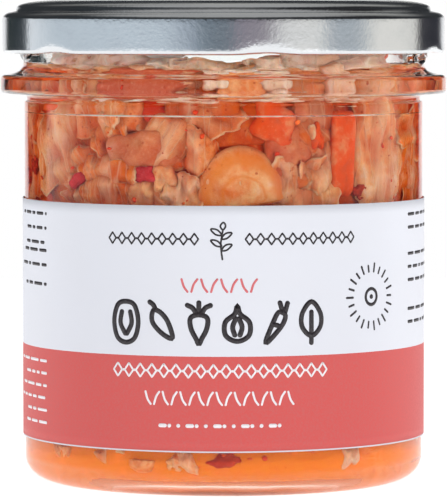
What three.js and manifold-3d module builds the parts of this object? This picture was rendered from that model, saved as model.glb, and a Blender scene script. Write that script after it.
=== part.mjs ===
// A twist-off grocery jar of kimchi: glass jar, tinplate lid, wrap-round paper label and the
// packed vegetables inside. Millimetres, +Z up, origin on the table under the jar's centre.
// The front of the label faces -Y.
import * as THREE from "three";
import { mergeVertices } from "three/addons/utils/BufferGeometryUtils.js";
import Module from "manifold-3d";

const wasm = await Module();
wasm.setup();

const degrees = THREE.MathUtils.degToRad;
const mix = THREE.MathUtils.lerp;

// Driving dimensions
const SIDES = 60; // facets round every turned piece, so that their corners line up
const STEP = (2 * Math.PI) / SIDES;

const BODY_R = 38.55; // outside of the straight glass wall
const WALL = 2.25; // thickness of the glass wall
const BASE_CORNER = { across: 7.0, up: 6.0 }; // outer foot curve
const BEARING_WIDTH = 1.8; // flat ring that the jar stands on
const PUSH_UP = 2.3; // height of the hollow under the jar
const HOLLOW = [[0, 1], [0.55, 0.86], [0.9, 0.42], [1, 0]]; // its curve, as shares of radius and height
const FLOOR_THICK = 2.8; // glass under the food, at the centre
const SHOULDER_Z = 73.3; // top of the straight wall
const SHOULDER_EDGE = 0.4; // its small slope
const GROOVE = { r: 38.0, bottom: 73.6, top: 74.0 }; // narrow ring between the wall and the bead
const BEAD = { r: 43.1, bottom: 74.7, top: 78.3, edge: 0.8 };
const NECK_R = 38.75; // glass under the lid
const NECK_SLOPE = { across: 2.2, from: 0.4, to: 1.6 }; // from the bead's top up to the neck
const NECK_BORE_R = 35.9;
const BORE_SLOPE = { below: 2.5, above: 1.0 }; // where the bore narrows, each side of the shoulder
const RIM_Z = 90.0;
const RIM_EDGE = 1.0; // rounding of the rim

// Thread ridges in degrees and millimetres; the root is sunk into the neck, the crest is narrower
const THREAD = { count: 6, start: -141, span: 52, z: 80.3, rise: 4.6, high: 1.5, out: 1.25, root: 0.6 };
const THREAD_CREST = 0.55;
const THREAD_TAPER = { steps: 6, end: 0.25 }; // each end comes down to a quarter in one step

const LID_R = 42.75; // outside of the lid's skirt, an 82 mm twist-off size
const LID_BOTTOM = 82.3;
const LID_SHOULDER = { across: 2.85, up: 1.35, z: 90.35 };
const LID_PANEL = { r: 39.05, foot: 90.55, edge: 91.1, rim: 92.3, top: 92.6 };
const LID_BUTTON = { r: 12, ring: 25, slope: 2, drop: 0.5 }; // raised centre and the low ring round it
const LID_SHEET = 0.45; // sheet thickness
const CURL_R = 0.75; // rolled lower edge
const LUG = { count: 6, first: -79, halfWidth: 11, inward: 1.0, lift: 0.45, high: 1.2, deep: 3 };

const LABEL = { bottom: 8.7, top: 54.6, thick: 0.2, gap: 0.2, openSteps: 2 };

const CLEAR = 0.35; // room between the food and the glass
const FOOD_TOP = 73.5; // edge of the heap's top, which is a little higher in the middle
const FOOD_REACH = 81; // no piece rises above this
const CORE_R = 33.2;
const CORE_CROWN = { across: 4.0, drop: 3.0, rise: 0.9 }; // rounded top edge and raised middle
const BITE = 0.9; // how deep a piece sits in the core
const THIN = 0.8; // a piece's least thickness

const BORE_R = BODY_R - WALL;
const FLOOR_CORNER = { across: 5.5, up: 4.8 };
const FLOOR_EDGE_Z = 3.4;
const FLOOR_EDGE_R = BORE_R - FLOOR_CORNER.across;
const FLOOR_MID_Z = PUSH_UP + FLOOR_THICK;
const FLOOR_HALF_Z = mix(FLOOR_EDGE_Z, FLOOR_MID_Z, 0.75); // height of the floor half-way in
const REACH_R = BORE_R * Math.cos(STEP / 2) - CLEAR;
const NECK_REACH_R = NECK_BORE_R - CLEAR - 0.1;

// The same numbers in every run
function seeded(seed) {
  let state = seed;
  return () => {
    state = (state * 1664525 + 1013904223) % 4294967296;
    return state / 4294967296;
  };
}

// Points of an elliptical arc, from angle a to angle b in degrees, anticlockwise from +r
function arc(r, z, across, up, a, b, steps) {
  return Array.from({ length: steps + 1 }, (_, i) => {
    const turn = degrees(mix(a, b, i / steps));
    return new THREE.Vector2(r + across * Math.cos(turn), z + up * Math.sin(turn));
  });
}

const at = (r, z) => new THREE.Vector2(r, z);

// A profile of radius and height, turned round +Z
function turned(profile) {
  return new THREE.LatheGeometry(profile, SIDES).rotateX(Math.PI / 2);
}

// A geometry as a closed solid
function solid(geometry) {
  const bare = geometry.index ? geometry.clone() : geometry;
  const points = new THREE.BufferGeometry();
  points.setAttribute("position", bare.getAttribute("position").clone());
  if (bare.index) points.setIndex(bare.index);
  const merged = mergeVertices(points, 1e-4);
  return new wasm.Manifold(
    new wasm.Mesh({
      numProp: 3,
      vertProperties: new Float32Array(merged.attributes.position.array),
      triVerts: new Uint32Array(merged.index.array),
    }),
  );
}

// A solid back as a geometry
function geometryOf(shape) {
  const mesh = shape.getMesh();
  const geometry = new THREE.BufferGeometry();
  geometry.setAttribute("position", new THREE.BufferAttribute(mesh.vertProperties, 3));
  geometry.setIndex(new THREE.BufferAttribute(mesh.triVerts, 1));
  geometry.computeVertexNormals();
  return geometry;
}

// Moves every point of a geometry by a rule
function reshape(geometry, rule) {
  const place = geometry.attributes.position;
  const point = new THREE.Vector3();
  for (let i = 0; i < place.count; i++) {
    point.fromBufferAttribute(place, i);
    rule(point);
    place.setXYZ(i, point.x, point.y, point.z);
  }
  return geometry;
}

function named(name, geometry, colour, roughness, metalness, opacity = 1) {
  const material = new THREE.MeshStandardMaterial({ color: colour, roughness, metalness });
  material.transparent = opacity < 1;
  material.opacity = opacity;
  const mesh = new THREE.Mesh(geometry, material);
  mesh.name = name;
  return mesh;
}

// Glass jar: foot, wall, shoulder, bead, threaded neck and rim, then down the inside
function glassProfile() {
  const footR = BODY_R - BASE_CORNER.across;
  const ringR = footR - BEARING_WIDTH;
  return [
    ...HOLLOW.map(([across, up]) => at(ringR * across, PUSH_UP * up)),
    ...arc(footR, BASE_CORNER.up, BASE_CORNER.across, BASE_CORNER.up, -90, 0, 4),
    at(BODY_R, SHOULDER_Z - SHOULDER_EDGE),
    at(BODY_R - SHOULDER_EDGE, SHOULDER_Z),
    at(GROOVE.r, GROOVE.bottom),
    at(GROOVE.r, GROOVE.top),
    ...arc(BEAD.r - BEAD.edge, BEAD.bottom + BEAD.edge, BEAD.edge, BEAD.edge, -90, 0, 2),
    ...arc(BEAD.r - BEAD.edge, BEAD.top - BEAD.edge, BEAD.edge, BEAD.edge, 0, 90, 2),
    at(NECK_R + NECK_SLOPE.across, BEAD.top + NECK_SLOPE.from),
    at(NECK_R, BEAD.top + NECK_SLOPE.to),
    ...arc(NECK_R - RIM_EDGE, RIM_Z - RIM_EDGE, RIM_EDGE, RIM_EDGE, 0, 90, 2),
    ...arc(NECK_BORE_R + RIM_EDGE, RIM_Z - RIM_EDGE, RIM_EDGE, RIM_EDGE, 90, 180, 1),
    at(NECK_BORE_R, SHOULDER_Z + BORE_SLOPE.above),
    at(BORE_R, SHOULDER_Z - BORE_SLOPE.below),
    ...arc(FLOOR_EDGE_R, FLOOR_EDGE_Z + FLOOR_CORNER.up, FLOOR_CORNER.across, FLOOR_CORNER.up, 0, -90, 4),
    at(FLOOR_EDGE_R / 2, FLOOR_HALF_Z),
    at(0, FLOOR_MID_Z),
  ];
}

// One thread ridge: a bar with tapered ends, wrapped round the neck on a slope
function threadRidge(index) {
  const bar = new THREE.BoxGeometry(1, 1, 1, THREAD_TAPER.steps, 1, 1);
  const first = THREAD.start + (index * 360) / THREAD.count;
  return reshape(bar, (p) => {
    const along = p.x + 0.5;
    const stepsIn = THREAD_TAPER.steps * Math.min(along, 1 - along);
    const full = Math.min(1, stepsIn + THREAD_TAPER.end);
    const outside = p.z > 0;
    const angle = degrees(first + THREAD.span * along);
    const r = outside ? NECK_R + THREAD.out * full : NECK_R - THREAD.root;
    const half = (outside ? THREAD_CREST : 1) * THREAD.high * full;
    const z = THREAD.z + THREAD.rise * along + p.y * half;
    p.set(r * Math.cos(angle), r * Math.sin(angle), z);
  });
}

function jarGeometry() {
  let jar = solid(turned(glassProfile()));
  for (let i = 0; i < THREAD.count; i++) jar = jar.add(solid(threadRidge(i)));
  return geometryOf(jar);
}

// Lid: domed panel with a centre button, groove, shoulder, skirt and rolled edge
function lidProfile() {
  const shoulderR = LID_R - LID_SHOULDER.across;
  const shoulderZ = LID_SHOULDER.z - LID_SHOULDER.up;
  const curlZ = LID_BOTTOM + CURL_R;
  const edge = LID_PANEL.rim - LID_PANEL.edge;
  const ringZ = LID_PANEL.top - LID_BUTTON.drop;
  const outer = [
    at(0, LID_PANEL.top),
    at(LID_BUTTON.r, LID_PANEL.top),
    at(LID_BUTTON.r + LID_BUTTON.slope, ringZ),
    at(LID_BUTTON.ring, ringZ),
    at(LID_BUTTON.ring + LID_BUTTON.slope, LID_PANEL.top),
    ...arc(LID_PANEL.r - 2 * edge, LID_PANEL.edge, 2 * edge, edge, 90, 0, 3),
    at(LID_PANEL.r, LID_PANEL.foot),
    ...arc(shoulderR, shoulderZ, LID_SHOULDER.across, LID_SHOULDER.up, 90, 0, 3),
    ...arc(LID_R - CURL_R, curlZ, CURL_R, CURL_R, 0, -180, 3),
  ];
  const wallR = LID_R - LID_SHEET;
  const inner = [
    at(LID_R - CURL_R, curlZ + CURL_R),
    at(wallR, curlZ + CURL_R + LID_SHEET),
    ...arc(shoulderR, shoulderZ, LID_SHOULDER.across - LID_SHEET, LID_SHOULDER.up - LID_SHEET, 0, 90, 2),
    at(LID_PANEL.r - LID_SHEET, LID_PANEL.foot - LID_SHEET),
    at(LID_PANEL.r - LID_SHEET, LID_PANEL.edge),
    at(LID_PANEL.r - 2 * edge, LID_PANEL.rim - LID_SHEET),
    at(LID_BUTTON.ring + LID_BUTTON.slope, LID_PANEL.top - LID_SHEET),
    at(LID_BUTTON.ring, ringZ - LID_SHEET),
    at(0, ringZ - LID_SHEET),
  ];
  return [...outer, ...inner];
}

// How much a lug presses the lid's edge in at this angle, from 0 to 1
function lugShare(angle) {
  const pitch = 360 / LUG.count;
  const turn = THREE.MathUtils.radToDeg(angle) - LUG.first;
  const off = turn - pitch * Math.round(turn / pitch);
  return Math.max(0, Math.cos(THREE.MathUtils.clamp(off / LUG.halfWidth, -1, 1) * (Math.PI / 2)));
}

function lidGeometry() {
  const lowZone = LID_BOTTOM + 2 * CURL_R + LUG.high;
  return reshape(turned(lidProfile().reverse()), (p) => {
    const r = Math.hypot(p.x, p.y);
    if (p.z > lowZone || r < LID_R - LUG.deep) return;
    const angle = Math.atan2(p.y, p.x);
    const share = lugShare(angle) * (1 - (p.z - LID_BOTTOM) / (lowZone - LID_BOTTOM));
    const pressed = r - LUG.inward * share;
    p.set(pressed * Math.cos(angle), pressed * Math.sin(angle), p.z + LUG.lift * share);
  });
}

// Paper label: a thin band that leaves a strip of glass bare at the back
function labelGeometry() {
  const inner = BODY_R + LABEL.gap;
  const outer = inner + LABEL.thick;
  const back = Math.PI / 2;
  const from = back + (LABEL.openSteps / 2) * STEP;
  const to = back + 2 * Math.PI - (LABEL.openSteps / 2) * STEP;
  const band = new THREE.Shape();
  band.absarc(0, 0, outer, from, to, false);
  band.absarc(0, 0, inner, to, from, true);
  return new THREE.ExtrudeGeometry(band, {
    depth: LABEL.top - LABEL.bottom,
    bevelEnabled: false,
    curveSegments: (SIDES - LABEL.openSteps) / 2, // an arc gets twice this many steps
  }).translate(0, 0, LABEL.bottom);
}

// The furthest the food may reach at a height, clear of the glass
function reachAt(z) {
  const cornerZ = FLOOR_EDGE_Z + FLOOR_CORNER.up;
  if (z > SHOULDER_Z - BORE_SLOPE.below - CLEAR) return NECK_REACH_R;
  if (z >= cornerZ) return REACH_R;
  const down = Math.min(1, (cornerZ - z) / (FLOOR_CORNER.up - CLEAR));
  return REACH_R - FLOOR_CORNER.across * (1 - Math.sqrt(1 - down * down));
}

// The packed food inside its pieces: a plug that follows the glass
function coreGeometry() {
  const sunk = REACH_R - CORE_R;
  return turned([
    at(0, FLOOR_MID_Z + CLEAR),
    at(FLOOR_EDGE_R / 2, FLOOR_HALF_Z + CLEAR),
    ...arc(
      FLOOR_EDGE_R - sunk,
      FLOOR_EDGE_Z + FLOOR_CORNER.up + CLEAR,
      FLOOR_CORNER.across - CLEAR,
      FLOOR_CORNER.up,
      -90,
      0,
      3,
    ),
    at(CORE_R, FOOD_TOP - CORE_CROWN.drop),
    at(CORE_R - CORE_CROWN.across, FOOD_TOP),
    at(0, FOOD_TOP + CORE_CROWN.rise),
  ]);
}

// Kinds of vegetable piece: corners, width and height against the glass, and how ragged the
// outline is. A draw from 0 to 1 picks the first kind whose upTo is above it.
const KINDS = {
  cabbage: { corners: 6, wide: [19, 28], high: [12, 18], ragged: 0.24, upTo: 0.46 },
  daikon: { corners: 5, wide: [16, 23], high: [11, 16], ragged: 0.1, upTo: 0.78 },
  carrot: { corners: 4, wide: [4.5, 6.5], high: [11, 17], ragged: 0.05, upTo: 0.9 },
  chilli: { corners: 4, wide: [4, 8], high: [3, 5], ragged: 0.2, upTo: 1 },
};
const WALL_PIECES = {
  rows: 6,
  perRow: 9,
  low: 8.4,
  high: 70.5,
  shift: { round: 0.5, up: 2.5 },
  sunk: 1.3,
  lean: 0.7,
};
const TOP_PIECE = {
  count: 8,
  rings: [11, 22],
  turn: 2.4,
  wide: 17,
  high: 14,
  thick: 2.4,
  tip: 0.7,
  rise: 1.2,
};

const isStick = (kind) => kind.corners === 4;

// A number within half a span either side of zero
const jitter = (draw, span) => span * (draw() - 0.5);

// The outline of one piece, round zero: a stick's corners stand square
function outlineOf(kind, wide, high, draw) {
  const tilt = isStick(kind) ? Math.PI / 4 : draw() * Math.PI;
  const spread = isStick(kind) ? Math.SQRT2 : 1;
  const corners = Array.from({ length: kind.corners }, (_, i) => {
    const turn = tilt + (i / kind.corners) * 2 * Math.PI;
    const out = (spread / 2) * (1 + jitter(draw, 2 * kind.ragged));
    return new THREE.Vector2(wide * out * Math.cos(turn), high * out * Math.sin(turn));
  });
  return new THREE.Shape(corners);
}

// A slab pressed against the glass: x runs round the wall, y up and z outwards
function wallPiece({ kind, angle, z, wide, high, turn, sunk }, draw) {
  const inside = CORE_R - BITE;
  const slab = new THREE.ExtrudeGeometry(outlineOf(kind, wide, high, draw), {
    depth: 1,
    bevelEnabled: false,
  }).rotateZ(turn);
  return reshape(slab, (p) => {
    const height = THREE.MathUtils.clamp(z + p.y, FLOOR_EDGE_Z + 2 * CLEAR, FOOD_REACH);
    const reach = reachAt(height) - sunk;
    const r = p.z > 0 ? reach : Math.min(inside, reach - THIN);
    const round = degrees(angle) + p.x / REACH_R;
    p.set(r * Math.cos(round), r * Math.sin(round), height);
  });
}

// A slab that lies on top of the heap, tipped a little
function topPiece(index, draw) {
  const { wide, high, thick, tip, rise } = TOP_PIECE;
  const ring = TOP_PIECE.rings[index % 2];
  const round = index * TOP_PIECE.turn + draw();
  const kind = index % 3 ? KINDS.cabbage : KINDS.daikon;
  const slab = new THREE.ExtrudeGeometry(outlineOf(kind, wide, high, draw), {
    depth: thick,
    bevelEnabled: false,
  });
  slab.translate(0, 0, -thick / 2).rotateX(jitter(draw, tip)).rotateY(jitter(draw, tip));
  return slab.translate(ring * Math.cos(round), ring * Math.sin(round), FOOD_TOP + rise * draw());
}

// Rows of pieces from the floor to above the shoulder
function wallPieces(draw) {
  const { rows, perRow, low, high, shift, sunk, lean } = WALL_PIECES;
  return Array.from({ length: rows * perRow }, (_, index) => {
    const row = Math.floor(index / perRow);
    const step = (index % perRow) + (row % 2) / 2;
    const pick = draw();
    const kind = KINDS[Object.keys(KINDS).find((name) => pick < KINDS[name].upTo)];
    const place = {
      kind,
      angle: ((step + jitter(draw, shift.round)) * 360) / perRow,
      z: mix(low, high, row / (rows - 1)) + jitter(draw, shift.up),
      wide: mix(...kind.wide, draw()),
      high: mix(...kind.high, draw()),
      turn: isStick(kind) ? jitter(draw, lean) : 0,
      sunk: sunk * draw(),
    };
    return wallPiece(place, draw);
  });
}

function foodGeometry() {
  const draw = seeded(11);
  const pieces = wallPieces(draw);
  for (let i = 0; i < TOP_PIECE.count; i++) pieces.push(topPiece(i, draw));
  const heap = pieces.reduce((whole, piece) => whole.add(solid(piece)), solid(coreGeometry()));
  return geometryOf(heap);
}

const jar = new THREE.Group();
jar.name = "kimchi_jar";
jar.add(
  named("glass_jar", jarGeometry(), 0xe8efec, 0.03, 0, 0.3),
  named("lid", lidGeometry(), 0xb6bcc0, 0.28, 1),
  named("label", labelGeometry(), 0xe9e9ee, 0.6, 0),
  named("kimchi", foodGeometry(), 0xd98a55, 0.45, 0),
);

export default jar;
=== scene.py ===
"""A shut glass jar of kimchi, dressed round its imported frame: glass, lid, label, brine and food."""

import math
import random

import bmesh
import bpy
from mathutils import Matrix, Vector, noise


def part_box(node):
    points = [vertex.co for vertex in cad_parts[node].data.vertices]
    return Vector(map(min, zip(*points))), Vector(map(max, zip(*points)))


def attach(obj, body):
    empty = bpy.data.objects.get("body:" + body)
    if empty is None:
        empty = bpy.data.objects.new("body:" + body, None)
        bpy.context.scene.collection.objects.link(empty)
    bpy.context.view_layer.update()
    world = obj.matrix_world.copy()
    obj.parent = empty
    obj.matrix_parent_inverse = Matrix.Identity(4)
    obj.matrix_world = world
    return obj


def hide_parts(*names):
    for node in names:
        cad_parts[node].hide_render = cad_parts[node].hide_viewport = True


bl_info = {
    "name": "Kimchi Jar",
    "version": (1, 0, 0),
    "blender": (4, 5, 0),
    "location": "View3D > Sidebar > Kimchi Jar",
    "description": "Dresses the packed frame of a shut kimchi jar with glass, lid, label, brine and food",
    "category": "Object",
}

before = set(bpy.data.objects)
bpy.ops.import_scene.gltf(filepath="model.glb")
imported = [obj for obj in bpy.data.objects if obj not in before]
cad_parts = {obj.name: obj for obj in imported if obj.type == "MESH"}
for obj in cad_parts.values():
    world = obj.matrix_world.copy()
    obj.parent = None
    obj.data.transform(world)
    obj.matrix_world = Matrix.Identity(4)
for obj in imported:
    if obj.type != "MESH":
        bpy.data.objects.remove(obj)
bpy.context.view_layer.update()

MM = 0.001
JAR_LOW, JAR_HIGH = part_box("glass_jar")
LID_LOW, LID_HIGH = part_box("lid")
LABEL_LOW, LABEL_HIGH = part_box("label")
BODY = "root"
SHY = 0.02 * MM  # a smooth piece stays this much inside its faceted solid

# Glass, down the outside and up the inside
BEAD_R = JAR_HIGH.x - SHY
BEAD = {"bottom": 74.7 * MM, "top": 78.3 * MM, "edge": 0.9 * MM}
BASE_CORNER = {"across": 5.4 * MM, "up": 4.8 * MM}
BEARING_WIDTH = 1.8 * MM
PUSH_UP = 2.3 * MM
FROST_R = 33.5 * MM  # the underside is frosted out to here
FLOOR_MID_Z = 5.1 * MM
FLOOR_EDGE_Z = 2.7 * MM
FLOOR_CORNER = {"across": 4.2 * MM, "up": 3.7 * MM}
SHOULDER_Z = 73.3 * MM
GROOVE = {"r": 38.0 * MM, "bottom": 73.6 * MM, "top": 74.0 * MM}
NECK_R = 38.75 * MM
NECK_BORE_R = 35.9 * MM
BORE_SLOPE = {"bottom": SHOULDER_Z - 2.5 * MM, "top": SHOULDER_Z + 1.0 * MM}
RIM_Z = JAR_HIGH.z
RIM_EDGE = 1.0 * MM
GLASS_STEPS = 288
GLASS_ROW = 0.9 * MM  # the turned outline has no longer stretch
THREAD = {"count": 6, "start": -141, "span": 52, "z": 80.3 * MM, "rise": 4.6 * MM}
THREAD_HALF = 0.62 * MM
THREAD_OUT = 0.7 * MM
THREAD_FADE = 0.09  # share of its length over which a thread's end fades

# Lid
LID_R = LID_HIGH.x - SHY
LID_TOP = LID_HIGH.z - SHY
LID_FOOT = LID_LOW.z + SHY
LID_SHEET = 0.4 * MM
LID_PANEL = {"r": 39.9 * MM, "foot": 90.5 * MM, "edge": 91.2 * MM, "rim": 92.3 * MM}
LID_PANEL_ROUND = 8.0 * MM  # how far in from its rim the panel levels out
LID_SHOULDER = {"across": 2.63 * MM, "up": 1.4 * MM, "z": 90.42 * MM}
LID_BUTTON = {"r": 12 * MM, "ring": 25 * MM, "slope": 2 * MM, "drop": 0.5 * MM}
CURL_R = 0.75 * MM
LUG = {"count": 6, "first": -79, "half": 9.5}
LUG_PRESS = {"inward": 0.38 * MM, "lift": 0.25 * MM, "high": 2.6 * MM}
LID_STEPS = 300

# Label
LABEL_R = LABEL_HIGH.x - SHY
LABEL_THICK = 0.18 * MM
LABEL_Z = (LABEL_LOW.z, LABEL_HIGH.z)
LABEL_OPEN = 12  # degrees of bare glass at the back
CUT_EDGE = 0.28 * MM  # the bare paper at the foot of the coloured field
INK_THICK = 0.012 * MM
INK_GAP = 0.006 * MM
PAPER_R = LABEL_R - INK_THICK - INK_GAP

# Contents
INTO_WALL = 0.1 * MM
BRINE_CREEP = 0.3 * MM  # how far the brine's surface climbs the glass
CORE_R = 32.0 * MM
FOOT_GAP = {"side": 1.0 * MM, "under": 0.3 * MM}  # clear brine round the murky foot of the core
MURK_Z = 17 * MM  # below this the core turns murky, and it is so fully MURK_FADE lower
MURK_FADE = 5 * MM
GLASS_IOR = 1.5
BRINE_IOR = 1.34
GLASS_SHEEN = (0.55, 0.55, 0.58, 1.0)  # how strongly the glass mirrors the room, seen straight on
WET_TO = 80.5 * MM  # the inside of the glass is wetted up to here
FOOD_TOP = 77.5 * MM
FOOD_REACH = 86.0 * MM
NOTCH = {"from": -22, "to": 29}  # degrees of the heap's low part, which lets the light through
TOUCH = 0.12 * MM  # the least gap between food and the inside of the glass
FLAKES = {
    "count": 380,
    "sizes": (0.1, 0.12, 0.15, 0.18, 0.24, 0.36, 0.6),
    "upper": (54, 79),
    "lower": (4.8, 10),
    "share": 0.85,  # of the flakes in the upper band
}

# Second colours, linear, that each finish mottles, stains or dries to, and the painted shade and highlights
# of the food and brine
RUBBED_TINPLATE = (0.66, 0.68, 0.70)
LACQUER = ((0.80, 0.79, 0.76), (0.86, 0.85, 0.82))
CLOUDED_PAPER = (0.605, 0.62, 0.675)
THIN_FIELD = (0.49, 0.10, 0.097)
PALE_INK = (0.72, 0.68, 0.70)
# Painted highlight where the brine meets the glass
BRINE_LINE = (0.72, 0.80, 0.70)
# Painted shade: deep food is multiplied by this, for light taken up by the brine
THROUGH_BRINE = (0.84, 0.30, 0.10)
PALE_FLESH = (1.0, 0.84, 0.71)
MURKY_FLESH = (0.70, 0.165, 0.001)
# Painted shade in cloudy patches on the food
CLOUDED_FLESH = (0.86, 0.52, 0.36)
FINE_MOTTLE = (0.88, 0.62, 0.42)
SPICE_FLECK = (0.62, 0.06, 0.01)
CABBAGE = {"midrib": (1.0, 0.62, 0.40), "streak": (1.0, 0.60, 0.37), "vein": (1.0, 0.66, 0.44)}
# An orange band near the torn rim, and a painted highlight on its very edge
TORN_RIM = {"band": (0.95, 0.26, 0.04), "edge": (1.0, 0.66, 0.40)}
DAIKON = {"grain": (0.98, 0.58, 0.36), "ring": (0.93, 0.27, 0.04), "rim": (0.98, 0.50, 0.24)}
CARROT_SHADES = ((0.93, 0.34, 0.14), (0.74, 0.13, 0.05))
CHILLI_SHADES = ((0.80, 0.08, 0.02), (0.40, 0.012, 0.006))
RADISH_SHADES = ((0.85, 0.10, 0.11), (0.52, 0.02, 0.03))
FLAKE_SHADES = ((0.60, 0.04, 0.01), (0.92, 0.17, 0.03), (0.25, 0.01, 0.01))
CLOUDED_TABLE = (0.43, 0.43, 0.44)


def length_property(name, description, default):
    return bpy.props.FloatProperty(name=name, description=description, default=default, unit="LENGTH")


def colour_property(name, description, default):
    return bpy.props.FloatVectorProperty(
        name=name, description=description, default=default, size=3, min=0, max=1, subtype="COLOR"
    )


class JarSizes(bpy.types.PropertyGroup):
    """Sizes that another jar of this kind would change"""

    body_radius: length_property("Body radius", "Outside radius of the straight wall", 38.55 * MM)
    wall: length_property("Wall", "Thickness of the glass", 2.25 * MM)
    brine_level: length_property("Brine level", "Height of the brine's surface", 70.9 * MM)
    field_top: length_property("Field top", "Height up to which the label is coloured", 26.65 * MM)
    stroke: length_property("Stroke", "Width of the pictures' lines", 0.95 * MM)


class JarColours(bpy.types.PropertyGroup):
    """Colours of the pack and the food, linear"""

    glass: colour_property("Glass", "Tint of the clear glass", (0.965, 0.985, 0.975))
    tinplate: colour_property("Tinplate", "Metal of the lid", (0.72, 0.735, 0.75))
    paper: colour_property("Paper", "Bare label paper", (0.595, 0.603, 0.648))
    field: colour_property("Field", "Coloured lower part of the label", (0.53, 0.081, 0.076))
    ink: colour_property("Ink", "Dark printing", (0.018, 0.014, 0.017))
    red_ink: colour_property("Red ink", "Small red printing", (0.56, 0.12, 0.13))
    brine: colour_property("Brine", "What the brine lets through", (1.0, 0.93, 0.84))
    cream: colour_property("Cream", "Unstained cabbage and daikon", (1.0, 0.54, 0.25))
    stain: colour_property("Stain", "Food stained by chilli oil", (0.94, 0.215, 0.015))
    blush: colour_property("Blush", "Food stained pink", (0.74, 0.15, 0.06))
    carrot: colour_property("Carrot", "Carrot flesh", (0.93, 0.115, 0.018))
    chilli: colour_property("Chilli", "Chilli skin", (0.62, 0.035, 0.01))
    radish: colour_property("Radish", "Magenta radish skin", (0.74, 0.04, 0.045))


class StudioSettings(bpy.types.PropertyGroup):
    """Camera and light"""

    distance: length_property("Distance", "From the jar's axis to the camera", 0.823)
    height: length_property("Height", "Camera height over the table", 0.0915)
    tilt: bpy.props.FloatProperty(
        name="Tilt", description="How far the camera looks down", default=math.radians(3.29), unit="ROTATION"
    )
    lens: bpy.props.FloatProperty(name="Lens", description="Focal length in mm", default=305.8)
    light: bpy.props.FloatProperty(name="Light", description="Strength of the studio light", default=1.0)
    fill: bpy.props.FloatProperty(
        name="Fill", description="Power in watts of a lamp, which lights without being mirrored", default=8.3
    )
    table: colour_property("Table", "Pale floor", (0.45, 0.45, 0.455))


def sizes():
    return bpy.context.scene.jar_sizes


def colours():
    return bpy.context.scene.jar_colours


class Field:
    """A shader socket that takes part in Python arithmetic."""

    def __init__(self, shader, socket):
        self.shader = shader
        self.socket = socket

    def __add__(self, other):
        return self.shader.maths("ADD", self, other)

    def __sub__(self, other):
        return self.shader.maths("SUBTRACT", self, other)

    def __rsub__(self, other):
        return self.shader.maths("SUBTRACT", other, self)

    def __mul__(self, other):
        return self.shader.maths("MULTIPLY", self, other)

    def __truediv__(self, other):
        return self.shader.maths("DIVIDE", self, other)

    def __gt__(self, other):
        return self.shader.maths("GREATER_THAN", self, other)

    def __lt__(self, other):
        return self.shader.maths("LESS_THAN", self, other)

    __radd__ = __add__
    __rmul__ = __mul__


class Shader:
    """The nodes of one material or of the world."""

    def __init__(self, owner):
        owner.use_nodes = True
        self.tree = owner.node_tree
        self.tree.nodes.clear()

    def node(self, kind, settings=None, sockets=None):
        """Any node: its settings are set first, then the values or links of its sockets."""
        made = self.tree.nodes.new("ShaderNode" + kind)
        for name, value in (settings or {}).items():
            if name == "stops":
                self.set_stops(made.color_ramp, value)
            else:
                setattr(made, name, value)
        for name, value in (sockets or {}).items():
            if isinstance(value, Field):
                self.tree.links.new(value.socket, made.inputs[name])
            else:
                made.inputs[name].default_value = value
        return made

    def set_stops(self, ramp, stops):
        while len(ramp.elements) < len(stops):
            ramp.elements.new(1.0)
        for element, (position, colour) in zip(ramp.elements, stops):
            element.position = position
            element.color = (*colour, 1.0)

    def field(self, node, output=0):
        return Field(self, node.outputs[output])

    def maths(self, operation, *values):
        return self.field(self.node("Math", {"operation": operation}, dict(enumerate(values))))

    def limited(self, value):
        return self.field(self.node("Clamp", None, {0: value}))

    def between(self, value, low, high, start=0.0, end=1.0):
        """value's place from low to high, carried smoothly to start and end."""
        sockets = {0: value, 1: low, 2: high, 3: start, 4: end}
        return self.field(self.node("MapRange", {"interpolation_type": "SMOOTHSTEP"}, sockets))

    def place(self):
        return self.field(self.node("TexCoord"), "Object")

    def attribute(self, name, output="Fac"):
        return self.field(self.node("Attribute", {"attribute_name": name}), output)

    def parts(self, vector):
        split = self.node("SeparateXYZ", None, {0: vector})
        return [self.field(split, i) for i in range(3)]

    def off_axis(self, x, y):
        """Distance from the jar's axis."""
        return self.maths("SQRT", x * x + y * y)

    def stretched(self, vector, scale):
        """vector with each of its parts multiplied."""
        return self.field(self.node("VectorMath", {"operation": "MULTIPLY"}, {0: vector, 1: scale}))

    def noise(self, vector, scale, detail=3.0, rough=0.55, warp=0.0):
        sockets = {"Vector": vector, "Scale": scale, "Detail": detail, "Roughness": rough}
        return self.field(self.node("TexNoise", None, {**sockets, "Distortion": warp}), "Fac")

    def cells(self, vector, scale, feature="F1"):
        sockets = {"Vector": vector, "Scale": scale}
        return self.field(self.node("TexVoronoi", {"feature": feature}, sockets), "Distance")

    def ramp(self, value, stops):
        return self.field(self.node("ValToRGB", {"stops": stops}, {0: value}), "Color")

    def blend(self, share, low, high, mode="MIX"):
        """Colour low where share is 0, high where it is 1."""
        mix = self.node("Mix", {"data_type": "RGBA", "blend_type": mode})
        for index, value in ((0, share), (6, low), (7, high)):
            if isinstance(value, Field):
                self.tree.links.new(value.socket, mix.inputs[index])
            else:
                mix.inputs[index].default_value = value if index == 0 else (*value[:3], 1.0)
        return self.field(mix, 2)

    def bump(self, height, distance, strength=1.0):
        sockets = {"Height": height, "Distance": distance, "Strength": strength}
        return self.field(self.node("Bump", None, sockets))

    def surface(self, colour, rough, normal=None, more=None):
        """The finished Principled surface. more holds any other sockets."""
        colour = colour if isinstance(colour, Field) else (*colour[:3], 1.0)
        sockets = {"Base Color": colour, "Roughness": rough, **(more or {})}
        if normal:
            sockets["Normal"] = normal
        shader = self.node("BsdfPrincipled", None, sockets)
        self.node("OutputMaterial", None, {"Surface": self.field(shader)})


def new_material(name):
    """An empty material, and the shader that fills it."""
    material = bpy.data.materials.new(name)
    return material, Shader(material)


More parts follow.
